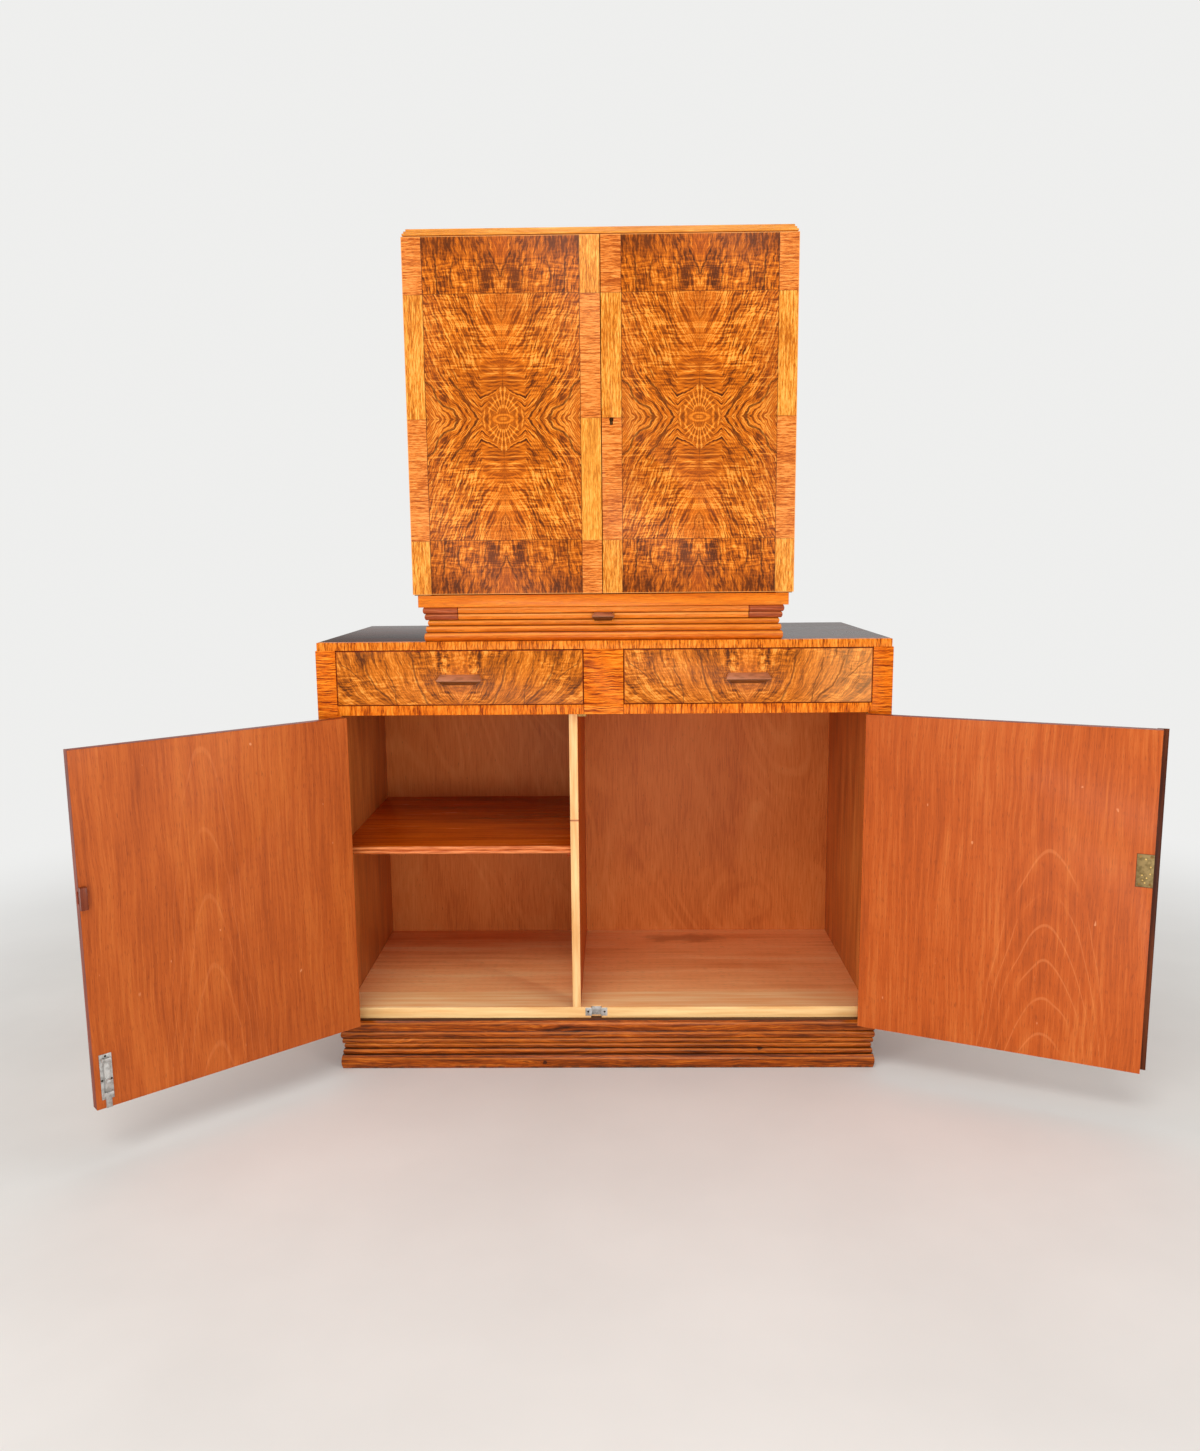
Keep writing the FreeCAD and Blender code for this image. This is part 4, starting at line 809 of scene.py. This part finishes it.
def metalFinish(name, clean, wearAndSheen, rough, stain, leafOf=None, metal=0.9):
    finish = Finish(name)
    x, y, z = shutPlace(finish, leafOf) if leafOf in doorTurns else finish.place()
    spot = finish.noise((x * 130, y * 130, z * 130), 4.0, 0.6)
    patchy = finish.noise((x * 900, y * 900, z * 60), 2.0)
    cloud = finish.noise((x * 45, y * 45, z * 45), 2.0)
    colour = finish.mix(spot.rise(0.42, 0.66) * stain, clean, wearAndSheen)
    if leafOf:
        # flush countersunk heads down the leaf
        low = leafScrews["first"] - leafScrews["pitch"] / 2
        high = finish.maths("WRAP", z, low + leafScrews["pitch"], low) - leafScrews["first"]
        across = y - (frontY + leafScrews["behind"])
        away = finish.reach(high, across)
        head = away.line(leafScrews["radius"], 0.0002)
        slotLine = (high * 0.8 + across * 0.6).line(0.0, leafScrews["slot"])
        slotLine = slotLine * away.below(leafScrews["radius"])
        colour = finish.mix(head.most(slotLine) * 0.8, colour, leafScrews["dark"])
    roughness = patchy * 0.16 + cloud * 0.14 + (rough - 0.1)
    return finish.finishOff(colour, roughness, patchy * 0.5 + spot * 0.5, 0.00006, metal=metal, shine=0.5)


carcassColours = ((132, 48, 2), (176, 72, 4), (200, 92, 14))
agedBrass = ((158, 122, 70), (104, 74, 38), 0.45, 0.7)
finishes = {
    # reeds: colours, streaks across, contrast; metals: clean and worn colour, roughness, how far worn
    "burl": upperDoorFinish(),
    "drawer": drawerFinish(),
    "edge": acrossFinish("crossGrainedEdge", "edge"),
    "rail": acrossFinish("crossGrainedRail", "rail", levelHalf=0.0368),
    "stile": acrossFinish("levelGrainStile", "stile", level=True),
    "plinth": reedFinish("rosewoodReeds", ((48, 18, 0), (124, 52, 2), (174, 80, 6), (214, 120, 36)),
                         230, 1.4, scuffedAndShaded=0.7, edges=reeds["plinth"]),
    "stand": reedFinish("walnutReeds", ((146, 62, 6), (204, 100, 14), (230, 124, 26), (250, 162, 66)),
                        150, 0.9, edges=reeds["stand"]),
    "underBoard": reedFinish("underBoardWalnut", ((164, 76, 4), (218, 110, 8), (238, 134, 22),
                                                  (250, 168, 60)), 190, 0.8),
    "guide": reedFinish("darkReeds", ((98, 38, 14), (150, 64, 26), (180, 86, 40), (208, 120, 70)),
                        160, 0.9, edges=reeds["slide"]),
    "slide": reedFinish("slideReeds", ((176, 82, 10), (224, 116, 22), (240, 138, 40), (254, 184, 96)),
                        220, 0.9, edges=reeds["slide"]),
    "cornice": reedFinish("corniceWalnut", ((166, 88, 24), (216, 134, 46), (240, 162, 68), (252, 194, 108)),
                          200, 0.9),
    "doorLeft": lowerDoorFinish("left"),
    "doorRight": lowerDoorFinish("right"),
    "backPly": plyFinish("plywoodBack"),
    "side": plainWood("outerSide", ((150, 76, 30), (188, 104, 45), (210, 130, 64)), "zyx",
                      {"tone": 32, "streak": 170}),
    "inner": plainWood("innerWood", carcassColours, "zyx", rough=0.34),
    "innerLevel": plainWood("innerLevelWood", carcassColours, "xyz", rough=0.34),
    "counter": plainWood("counterTop", ((34, 14, 6), (60, 26, 12), (86, 42, 22)), "xyz", {"streak": 90},
                         rough=0.28, coat=0.0, shine=0.05),
    "raw": plainWood("drawerPine", ((180, 128, 78), (212, 164, 108), (232, 192, 138)), "yzx",
                     rough=0.6, coat=0.0),
    "strip": plainWood("coverStrip", ((44, 18, 8), (84, 38, 18), (120, 60, 28)), "zxy",
                       rough=0.42, coat=0.02, shine=0.1),
    "block": plainWood("strikeBlock", ((74, 26, 12), (112, 46, 24), (140, 68, 38)), "zxy",
                       rough=0.3, coat=0.1),
    "brass": metalFinish("agedBrass", *agedBrass),
    "leafFixed": metalFinish("hingeBrass", *agedBrass, "cabinet"),
    "leafLeft": metalFinish("hingeBrassLeft", *agedBrass, "left_door"),
    "leafRight": metalFinish("hingeBrassRight", *agedBrass, "right_door"),
    # partly dark brass, partly painted shade: the escutcheons are drawn near black, standing for the shade in
    # their keyholes
    "darkBrass": metalFinish("darkBrassAndKeyholeShade", (36, 22, 14), (14, 8, 6), 0.55, 0.6),
    "darkSteel": metalFinish("blackenedSteel", (66, 58, 50), (38, 30, 24), 0.5, 0.6),
    "lockBrass": metalFinish("lockPlateBrass", (148, 126, 84), (102, 84, 50), 0.5, 0.7),
    "brightBrass": metalFinish("brightBrass", (226, 190, 112), (170, 132, 76), 0.35, 0.4),
    "steel": metalFinish("dullSteel", (188, 188, 186), (124, 120, 114), 0.42, 0.6, metal=0.55),
}


cupboardFloor = {
    "lip": 0.098,  # depth of the pale lipping along the front
    "lipSoft": 0.002,
    "lipColours": ((244, 178, 112), (255, 220, 164)),
    "face": 0.0205,  # the front edge itself
    "faceColours": ((226, 172, 104), (255, 220, 156)),
    "stain": ((0.175, 0.176), (0.105, 0.030)),  # middle and half size of an old one at the back right
    "stainColour": (118, 54, 28),
    # pale colour of the worn patches and of the painted light at the front
    "paleSheenAndWear": (255, 206, 146),
    "wearAndSheen": (0.10, 0.26),  # painted light: the floor is drawn paler towards the front, fading out between these depths
}


def floorExtra(finish, colour, x, y, z):
    uneven = (finish.noise((x * 30, 1.0, 2.0), 2.0) - 0.5) * 0.004
    lipAt = frontY + cupboardFloor["lip"]
    soft = cupboardFloor["lipSoft"]
    lip = 1 - (y + uneven).rise(lipAt - soft, lipAt + soft)
    pale = finish.noise((x * 5, y * 90, z * 90), 3.0)
    colour = finish.mix(lip * 0.85, colour, finish.ramp(pale, (0.35, 0.65), cupboardFloor["lipColours"]))
    face = y.below(frontY + cupboardFloor["face"])
    colour = finish.mix(face, colour, finish.ramp(pale, (0.35, 0.65), cupboardFloor["faceColours"]))
    stain = finish.oval(x, y, *cupboardFloor["stain"])
    stain = stain + (finish.noise((x * 22, y * 34, 3.0), 3.0) - 0.5) * 1.5
    colour = finish.mix((1 - stain.rise(0.5, 1.1)) * 0.38, colour, cupboardFloor["stainColour"])
    # worn patches, and painted light that makes the floor paler towards the front
    patchy = finish.noise((x * 14, y * 26, 6.0), 3.0).rise(0.50, 0.7)
    near = 1 - y.rise(*(frontY + depth for depth in cupboardFloor["wearAndSheen"]))
    return finish.mix(patchy * 0.16 + near * 0.22, colour, cupboardFloor["paleSheenAndWear"])


divider = {
    "edge": 0.0212,  # depth of the raw front edge
    "raw": ((226, 168, 104), (250, 208, 146)),
    "joint": 0.499,  # height where two lengths meet
    "jointHalf": (0.0018, 0.0006),  # half widths of the soft tint and of the line
    "jointSoft": (196, 88, 52),
    "jointLine": (138, 66, 36),
}


def dividerExtra(finish, colour, x, y, z):
    front = y.below(frontY + divider["edge"])
    pale = finish.noise((x * 160, z * 9, 2.0), 3.0)
    raw = finish.ramp(pale, (0.34, 0.66), divider["raw"])
    soft, thin = divider["jointHalf"]
    raw = finish.mix(z.line(divider["joint"], soft) * 0.35, raw, divider["jointSoft"])
    raw = finish.mix(z.line(divider["joint"], thin) * 0.8, raw, divider["jointLine"])
    return finish.mix(front, colour, raw)


handles = {
    "paleSheenAndWear": (204, 132, 96),  # painted highlight: upper facet drawn paler, as lit from above
    # painted shade on the lower facet
    "under": (64, 28, 12),
    # how much the ends of each bar lean in above its ridge
    "ends": {"drawer_handle_left": 0.90, "drawer_handle_right": 0.90, "slide_handle": 0.80},
    "ridgeShare": 0.6,  # of the height
    "backShare": 0.4,  # of the depth
}


def handleExtra(finish, colour, x, y, z):
    # painted highlight on upward faces and painted shade on downward ones, by the object's own normal, with
    # patchy strength
    up = finish.facing()[2].rise(0.15, 0.5)
    patchy = finish.noise((x * 60, y * 90, z * 200), 3.0).rise(0.3, 0.6) * 0.4 + 0.36
    colour = finish.mix(up * patchy, colour, handles["paleSheenAndWear"])
    down = 1 - finish.facing()[2].rise(-0.45, -0.1)
    return finish.mix(down * 0.4, colour, handles["under"])


shelfEdge = {"depth": 0.0284, "colours": ((186, 88, 34), (244, 150, 88))}


def shelfExtra(finish, colour, x, y, z):
    # pinkish moulded edge
    front = y.below(frontY + shelfEdge["depth"])
    tone = finish.noise((x * 20, z * 300, 2.0), 3.0)
    return finish.mix(front, colour, finish.ramp(tone, (0.35, 0.65), shelfEdge["colours"]))


finishes["handle"] = plainWood("handleMahogany", ((84, 46, 24), (130, 78, 46), (162, 104, 68)), "xzy",
                               {"streak": 160}, rough=0.3, coat=0.1, extra=handleExtra)
finishes["floor"] = plainWood("cupboardFloor", ((226, 140, 80), (250, 174, 112), (255, 202, 142)), "xyz",
                              {"tone": 15, "streak": 80}, rough=0.42, coat=0.0, extra=floorExtra)
finishes["divider"] = plainWood("dividerWood", carcassColours, "zyx", rough=0.36, extra=dividerExtra)
finishes["shelf"] = plainWood("shelfMahogany", ((150, 54, 0), (194, 82, 2), (218, 106, 14)), "xyz",
                              {"streak": 110}, rough=0.24, coat=0.1, extra=shelfExtra)
print("finishes ready:", len(finishes))


# pieces
roundedEdges = {
    "weld": 1e-6,  # points nearer than this are one
    "flat": 0.3,  # degrees within which faces are joined
    "sharp": 32,  # degrees past which an edge is rounded
    "steps": 2,
    "shortest": 1e-7,
}


def linked(name, data):
    # new object in the scene
    piece = bpy.data.objects.new(name, data)
    scene.collection.objects.link(piece)
    return piece


def bakeMesh(piece):
    # modifiers become plain mesh
    graph = bpy.context.evaluated_depsgraph_get()
    made = bpy.data.meshes.new_from_object(piece.evaluated_get(graph))
    piece.modifiers.clear()
    piece.data = made
    # edges without length are closed up
    shape = bmesh.new()
    shape.from_mesh(made)
    shortest = roundedEdges["shortest"]
    if any(edge.calc_length() < shortest for edge in shape.edges):
        bmesh.ops.dissolve_degenerate(shape, dist=shortest, edges=shape.edges)
        shape.to_mesh(made)
    shape.free()


def leanEnds(shape, node):
    # the upper back edge is shorter than the ridge
    low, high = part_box(node)
    middle = (low.x + high.x) / 2
    ridge = low.z + (high.z - low.z) * handles["ridgeShare"]
    back = low.y + (high.y - low.y) * handles["backShare"]
    for point in shape.verts:
        if point.co.z > ridge and point.co.y > back:
            point.co.x = middle + (point.co.x - middle) * handles["ends"][node]


def softened(node, finish, width):
    # copy of a CAD node with rounded edges
    shape = bmesh.new()
    shape.from_mesh(nodes[node].data)
    bmesh.ops.remove_doubles(shape, verts=shape.verts, dist=roundedEdges["weld"])
    bmesh.ops.dissolve_limit(shape, angle_limit=math.radians(roundedEdges["flat"]), verts=shape.verts,
                             edges=shape.edges)
    if node in handles["ends"]:
        leanEnds(shape, node)
    for face in shape.faces:
        face.smooth = True
    mesh = bpy.data.meshes.new(node + ".shape")
    shape.to_mesh(mesh)
    shape.free()
    mesh.materials.append(finish)
    piece = linked(node + "_finished", mesh)
    edges = piece.modifiers.new("edges", "BEVEL")
    edges.width = width
    edges.segments = roundedEdges["steps"]
    edges.limit_method = "ANGLE"
    edges.angle_limit = math.radians(roundedEdges["sharp"])
    edges.harden_normals = True
    bakeMesh(piece)
    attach(piece, nodes[node]["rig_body"])
    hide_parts(node)


dressing = {
    # node, or a left and right pair of them: finish, width of the rounded edge
    "plinth": ("plinth", 0.0007),
    "bottom_board": ("floor", 0.0003),
    "side": ("side", 0.0004),
    "stile": ("stile", 0.0006),
    "stile_centre": ("stile", 0.0003),
    "drawer_board": ("rail", 0.0004),
    "drawer_partition": ("raw", 0.0003),
    "divider": ("divider", 0.0005),
    "lower_back": ("backPly", 0.0002),
    "counter_edge": ("edge", 0.0006),
    "counter_board": ("counter", 0.0003),
    "shelf": ("shelf", 0.0003),
    "shelf_batten": ("inner", 0.0006),
    "lower_door_left": ("doorLeft", 0.0008),
    "lower_door_right": ("doorRight", 0.0008),
    "cover_strip": ("strip", 0.0012),
    "strike_block": ("block", 0.0008),
    "lower_lock": ("lockBrass", 0.0002),
    "lower_lock_bolt": ("brass", 0.0003),
    "lower_escutcheon": ("darkBrass", 0.0003),
    "bolt_keep": ("steel", 0.0003),
    "bolt_plate": ("steel", 0.0003),
    "door_bolt": ("steel", 0.0005),
    "hinge_fixed_left": ("leafFixed", 0.0002),
    "hinge_leaf_left": ("leafLeft", 0.0002),
    "hinge_fixed_right": ("leafFixed", 0.0002),
    "hinge_leaf_right": ("leafRight", 0.0002),
    "drawer_front": ("drawer", 0.0006),
    "drawer_box": ("raw", 0.0004),
    "drawer_bottom": ("backPly", 0.0002),
    "drawer_handle": ("handle", 0.0007),
    "stand_frame": ("stand", 0.0006),
    "slide_guide": ("guide", 0.0005),
    "under_board": ("underBoard", 0.0008),
    "serving_slide": ("slide", 0.0005),
    "slide_handle": ("handle", 0.0006),
    "upper_side": ("side", 0.0004),
    "upper_bottom": ("innerLevel", 0.0003),
    "upper_top": ("innerLevel", 0.0003),
    "upper_back": ("backPly", 0.0002),
    "upper_shelf": ("innerLevel", 0.0006),
    "cornice": ("cornice", 0.0008),
    "upper_door": ("burl", 0.0014),
    "pivot_lower_left": ("brass", 0.0002),
    "pivot_upper_left": ("brass", 0.0002),
    "pivot_lower_right": ("brass", 0.0002),
    "pivot_upper_right": ("brass", 0.0002),
    "upper_lock": ("brass", 0.0002),
    "upper_lock_bolt": ("brass", 0.0003),
    "upper_escutcheon": ("darkBrass", 0.0003),
}
for name, (finishName, width) in dressing.items():
    for node in [name] if name in nodes else [name + "_left", name + "_right"]:
        softened(node, finishes[finishName], width)
print("pieces dressed:", len(dressing), "rows")


# small fittings
def shutToOpen(body, spot, turnOnly=False):
    # a place on a shut lower door, carried to where the door stands open
    if body not in doorTurns:
        return Vector(spot)
    turn = Matrix.Rotation(-doorTurns[body], 3, "Z")
    if turnOnly:
        return turn @ Vector(spot)
    hinge = Vector(hinges[body]["pos_m"])
    flat = Vector((hinge.x, hinge.y, 0))
    return flat + turn @ (Vector(spot) - flat)


screwHead = {
    "sides": 24,
    "top": 0.82,  # these are shares of its radius or height
    "slotLength": 2.4,
    "slotFrom": 0.95,
}


def screwTree():
    # a slotted or plain round head on every point, each slot turned its own way
    tree = bpy.data.node_groups.new("screwHeads", "GeometryNodeTree")
    face = tree.interface
    face.new_socket("Geometry", in_out="INPUT", socket_type="NodeSocketGeometry")
    sockets = {}
    for name, kind in (("Radius", "Float"), ("Height", "Float"), ("Slot", "Float"), ("Turn", "Vector"),
                       ("Seed", "Int"), ("Finish", "Material")):
        sockets[name] = face.new_socket(name, in_out="INPUT", socket_type="NodeSocket" + kind).identifier
    face.new_socket("Geometry", in_out="OUTPUT", socket_type="NodeSocketGeometry")
    given = tree.nodes.new("NodeGroupInput").outputs

    def node(kind, settings=None, **inputs):
        made = tree.nodes.new(kind)
        for key, setting in (settings or {}).items():
            setattr(made, key, setting)
        for key, value in inputs.items():
            socket = made.inputs[int(key[1:])] if key[0] == "n" and key[1:].isdigit() else made.inputs[key]
            if isinstance(value, bpy.types.NodeSocket):
                tree.links.new(value, socket)
            else:
                socket.default_value = value
        return made

    def times(value, share):
        return node("ShaderNodeMath", {"operation": "MULTIPLY"}, n0=value, n1=share).outputs[0]

    head = node("GeometryNodeMeshCone", {"fill_type": "NGON"}, Vertices=screwHead["sides"],
                Depth=given["Height"])
    tree.links.new(times(given["Radius"], screwHead["top"]), head.inputs["Radius Top"])
    tree.links.new(given["Radius"], head.inputs["Radius Bottom"])
    size = node("ShaderNodeCombineXYZ", n0=times(given["Radius"], screwHead["slotLength"]), n1=given["Slot"],
                n2=given["Height"])
    bar = node("GeometryNodeMeshCube", Size=size.outputs[0])
    lift = node("ShaderNodeCombineXYZ", n2=times(given["Height"], screwHead["slotFrom"]))
    raised = node("GeometryNodeTransform", Geometry=bar.outputs[0], Translation=lift.outputs[0])
    slotted = node("GeometryNodeMeshBoolean", {"operation": "DIFFERENCE", "solver": "EXACT"})
    tree.links.new(head.outputs[0], slotted.inputs["Mesh 1"])
    tree.links.new(raised.outputs[0], slotted.inputs["Mesh 2"])
    hasSlot = node("FunctionNodeCompare", {"data_type": "FLOAT", "operation": "GREATER_THAN"},
                   n0=given["Slot"], n1=0.0)
    either = node("GeometryNodeSwitch", {"input_type": "GEOMETRY"}, Switch=hasSlot.outputs[0],
                  n1=head.outputs[0], n2=slotted.outputs[0])
    spin = node("FunctionNodeRandomValue", {"data_type": "FLOAT"}, Seed=given["Seed"])
    spin.inputs[2].default_value = 0.0
    spin.inputs[3].default_value = 2 * math.pi
    spinBy = node("ShaderNodeCombineXYZ", n2=spin.outputs[1])
    spun = node("FunctionNodeEulerToRotation", n0=spinBy.outputs[0])
    turned = node("FunctionNodeEulerToRotation", n0=given["Turn"])
    both = node("FunctionNodeRotateRotation", {"rotation_space": "LOCAL"},
                n0=turned.outputs[0], n1=spun.outputs[0])
    placed = node("GeometryNodeInstanceOnPoints", Points=given["Geometry"], Instance=either.outputs[0],
                  Rotation=both.outputs[0])
    real = node("GeometryNodeRealizeInstances", Geometry=placed.outputs[0])
    dressed = node("GeometryNodeSetMaterial", Geometry=real.outputs[0], Material=given["Finish"])
    tree.links.new(dressed.outputs[0], tree.nodes.new("NodeGroupOutput").inputs[0])
    return tree, sockets


headTree, headSockets = screwTree()


def screws(name, body, spots, facing, radius, height, slot, finishName, seed):
    # points for the heads, which the tree turns into plain mesh
    mesh = bpy.data.meshes.new(name)
    mesh.from_pydata([shutToOpen(body, spot) for spot in spots], [], [])
    piece = linked(name, mesh)
    turn = shutToOpen(body, facing, True).to_track_quat("Z", "Y").to_euler()
    heads = piece.modifiers.new("heads", "NODES")
    heads.node_group = headTree
    given = {"Radius": radius, "Height": height, "Slot": slot, "Turn": tuple(turn), "Seed": seed,
             "Finish": finishes[finishName]}
    for key, value in given.items():
        heads[headSockets[key]] = value
    bakeMesh(piece)
    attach(piece, body)
    "steel" if finishName == "darkSteel" else "brass"


def smallBlock(name, body, low, high, finishName, edge):
    # rounded bar for a small fitting
    shape = bmesh.new()
    bmesh.ops.create_cube(shape, size=1.0)
    for point in shape.verts:
        point.co = [first + (last - first) * (part + 0.5) for first, last, part in zip(low, high, point.co)]
    bmesh.ops.bevel(shape, geom=shape.edges[:], offset=edge, segments=2, affect="EDGES", profile=0.5)
    mesh = bpy.data.meshes.new(name)
    shape.to_mesh(mesh)
    shape.free()
    mesh.materials.append(finishes[finishName])
    piece = linked(name, mesh)
    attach(piece, body)


doorThick = 0.019
inner = frontY + doorThick  # inner face of a shut door
keepLow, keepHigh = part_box("bolt_keep")
keepInset, keepHeight = 0.0056, 0.1125  # its screws, from its ends and from the ground
sunk = 0.0001  # they start inside the plate
fittings = {
    # name: body, places on the shut door, facing, radius, height, width of the slot, finish, seed
    "keep_screws": ("cabinet", [(keepLow.x + keepInset, keepLow.y + sunk, keepHeight),
                                (keepHigh.x - keepInset, keepLow.y + sunk, keepHeight)],
                    (0, -1, 0), 0.0022, 0.0005, 0.0009, "darkSteel", 3),
    "bolt_plate_screws": ("left_door", [(-0.0200, inner, 0.1912), (-0.0276, inner, 0.1500),
                                        (-0.0124, inner, 0.1500)],
                          (0, 1, 0), 0.0019, 0.0003, 0.0008, "darkSteel", 5),
    "lock_screws": ("right_door", [(0.0052, inner, 0.4408), (0.0222, inner, 0.4408), (0.0052, inner, 0.4892),
                                   (0.0222, inner, 0.4892)],
                    (0, 1, 0), 0.0022, 0.0005, 0.0008, "brass", 8),
    "lock_rivets": ("right_door", [(0.0138, inner, 0.4852), (0.0112, inner, 0.4525), (0.0172, inner, 0.4482),
                                   (0.0135, inner, 0.4440), (0.0182, inner, 0.4570), (0.0060, inner, 0.4600),
                                   (0.0058, inner, 0.4720)],
                    (0, 1, 0), 0.0013, 0.0007, 0.0, "brightBrass", 2),
    "upper_lock_screws": ("upper_right_door", [(0.0052, inner, 1.2178), (0.0222, inner, 1.2178),
                                               (0.0052, inner, 1.2662), (0.0222, inner, 1.2662)],
                          (0, 1, 0), 0.0022, 0.0005, 0.0008, "brass", 9),
}
for name, row in fittings.items():
    screws(name, *row)

upperKeep = {
    # small brass keep under the drawers' board
    "low": (-0.0500, frontY + 0.0210, 0.7005),
    "high": (-0.0335, frontY + 0.0290, 0.7080),
    "edge": 0.0006,
}
smallBlock("upper_keep", "cabinet", upperKeep["low"], upperKeep["high"], "brass", upperKeep["edge"])
print("small fittings ready:", len(fittings) + 1)


# stage, light, camera
stage = {
    "pale": (0.86, 0.86, 0.85, 1.0),  # linear colours
    "mottle": (0.80, 0.80, 0.79, 1.0),
    "sky": (1.0, 0.985, 0.96, 1.0),
    "skyPower": 0.45,
    "lamp": (1.0, 0.97, 0.93),
    "reach": 9.0,
    "rough": 0.85,
    "shine": 0.2,
    "fadeStart": 1.1,  # the floor turns into the backdrop between these distances
    "fadeEnd": 2.5,
}


def seenRays(finish):
    # 1 for what the camera sees, also in a mirror or through glass
    path = finish.add("ShaderNodeLightPath").socket.node
    camera, glossy, through = (Term(finish, path.outputs[name])
                               for name in ("Is Camera Ray", "Is Glossy Ray", "Is Transmission Ray"))
    return camera.most(glossy).most(through)


def makeFloor():
    reach = stage["reach"]
    mesh = bpy.data.meshes.new("studioFloor")
    corners = [(-reach, -reach, 0), (reach, -reach, 0), (reach, reach, 0), (-reach, reach, 0)]
    mesh.from_pydata(corners, [], [(0, 1, 2, 3)])
    floor = linked("studioFloor", mesh)
    finish = Finish("studioFloor")
    x, y, _ = finish.place()
    fade = finish.reach(x, y).rise(stage["fadeStart"], stage["fadeEnd"]) * seenRays(finish)
    mottle = finish.noise((x * 3, y * 3, 1.0), 4.0)
    tint = finish.ramp(mottle, (0.3, 0.7), (stage["mottle"], stage["pale"]))
    ground = finish.add("ShaderNodeBsdfPrincipled", None,
                        {"Base Color": tint, "Roughness": stage["rough"],
                         "Specular IOR Level": stage["shine"]})
    glow = finish.add("ShaderNodeEmission", None, {0: stage["pale"], 1: 1.0})
    shader = finish.add("ShaderNodeMixShader", None, {0: fade, 1: ground, 2: glow})
    mesh.materials.append(finish.end(shader))


def makeWorld():
    # soft light on the cabinet, pale wherever the world itself is seen
    finish = Finish("studioWorld", "worlds")
    scene.world = finish.material
    soft = finish.add("ShaderNodeBackground", None, {0: stage["sky"], 1: stage["skyPower"]})
    pale = finish.add("ShaderNodeBackground", None, {0: stage["pale"], 1: 1.0})
    both = finish.add("ShaderNodeMixShader", None, {0: seenRays(finish), 1: soft, 2: pale})
    finish.end(both, "ShaderNodeOutputWorld")


lamps = {
    # name: place, aim, width, height, power
    "lowLamp": ((0.1, -3.1, 0.30), (0.0, 0.1, 0.45), 2.2, 0.4, 20),
    "highLamp": ((-0.7, -3.4, 3.9), (0.0, -0.1, 0.8), 2.6, 1.2, 62),
    "leftLamp": ((-3.0, -3.1, 1.5), (0.2, 0.0, 0.55), 1.6, 1.8, 34),
    "rightLamp": ((3.0, -3.1, 1.3), (-0.2, 0.0, 0.5), 1.6, 1.8, 32),
    "topLamp": ((0.2, 0.2, 3.9), (0.0, 0.0, 0.5), 2.6, 2.0, 22),
}


def makeLamps():
    for name, (spot, aim, width, height, power) in lamps.items():
        data = bpy.data.lights.new(name, "AREA")
        data.shape = "RECTANGLE"
        data.size = width
        data.size_y = height
        data.energy = power
        data.color = stage["lamp"]
        lamp = linked(name, data)
        lamp.location = spot
        lamp.rotation_euler = (Vector(aim) - Vector(spot)).to_track_quat("-Z", "Y").to_euler()


photoCamera = {
    "place": (0.0261, -2.2903, 1.0085),
    "pitch": 8.919,  # degrees down
    "yaw": 0.935,
    "roll": -0.534,
    "lens": 27.527,
    "sensor": 36.0,
    "clip": (0.01, 50),
}


def makeCamera():
    data = bpy.data.cameras.new("photoCamera")
    data.sensor_width = photoCamera["sensor"]
    data.lens = photoCamera["lens"]
    data.clip_start, data.clip_end = photoCamera["clip"]
    camera = linked("photoCamera", data)
    pitch, yaw, roll = (math.radians(photoCamera[key]) for key in ("pitch", "yaw", "roll"))
    turn = Matrix.Rotation(yaw, 3, "Z")
    ahead = turn @ Vector((0, math.cos(pitch), -math.sin(pitch)))
    above = turn @ Vector((0, math.sin(pitch), math.cos(pitch)))
    aside = turn @ Vector((1, 0, 0))
    rolledAside = aside * math.cos(roll) + above * math.sin(roll)
    rolledAbove = above * math.cos(roll) - aside * math.sin(roll)
    columns = Matrix((rolledAside, rolledAbove, -ahead)).transposed()
    camera.matrix_world = Matrix.Translation(photoCamera["place"]) @ columns.to_4x4()
    scene.camera = camera


makeFloor()
makeWorld()
makeLamps()
makeCamera()
scene.view_settings.view_transform = "Standard"
print("stage, light and camera ready")
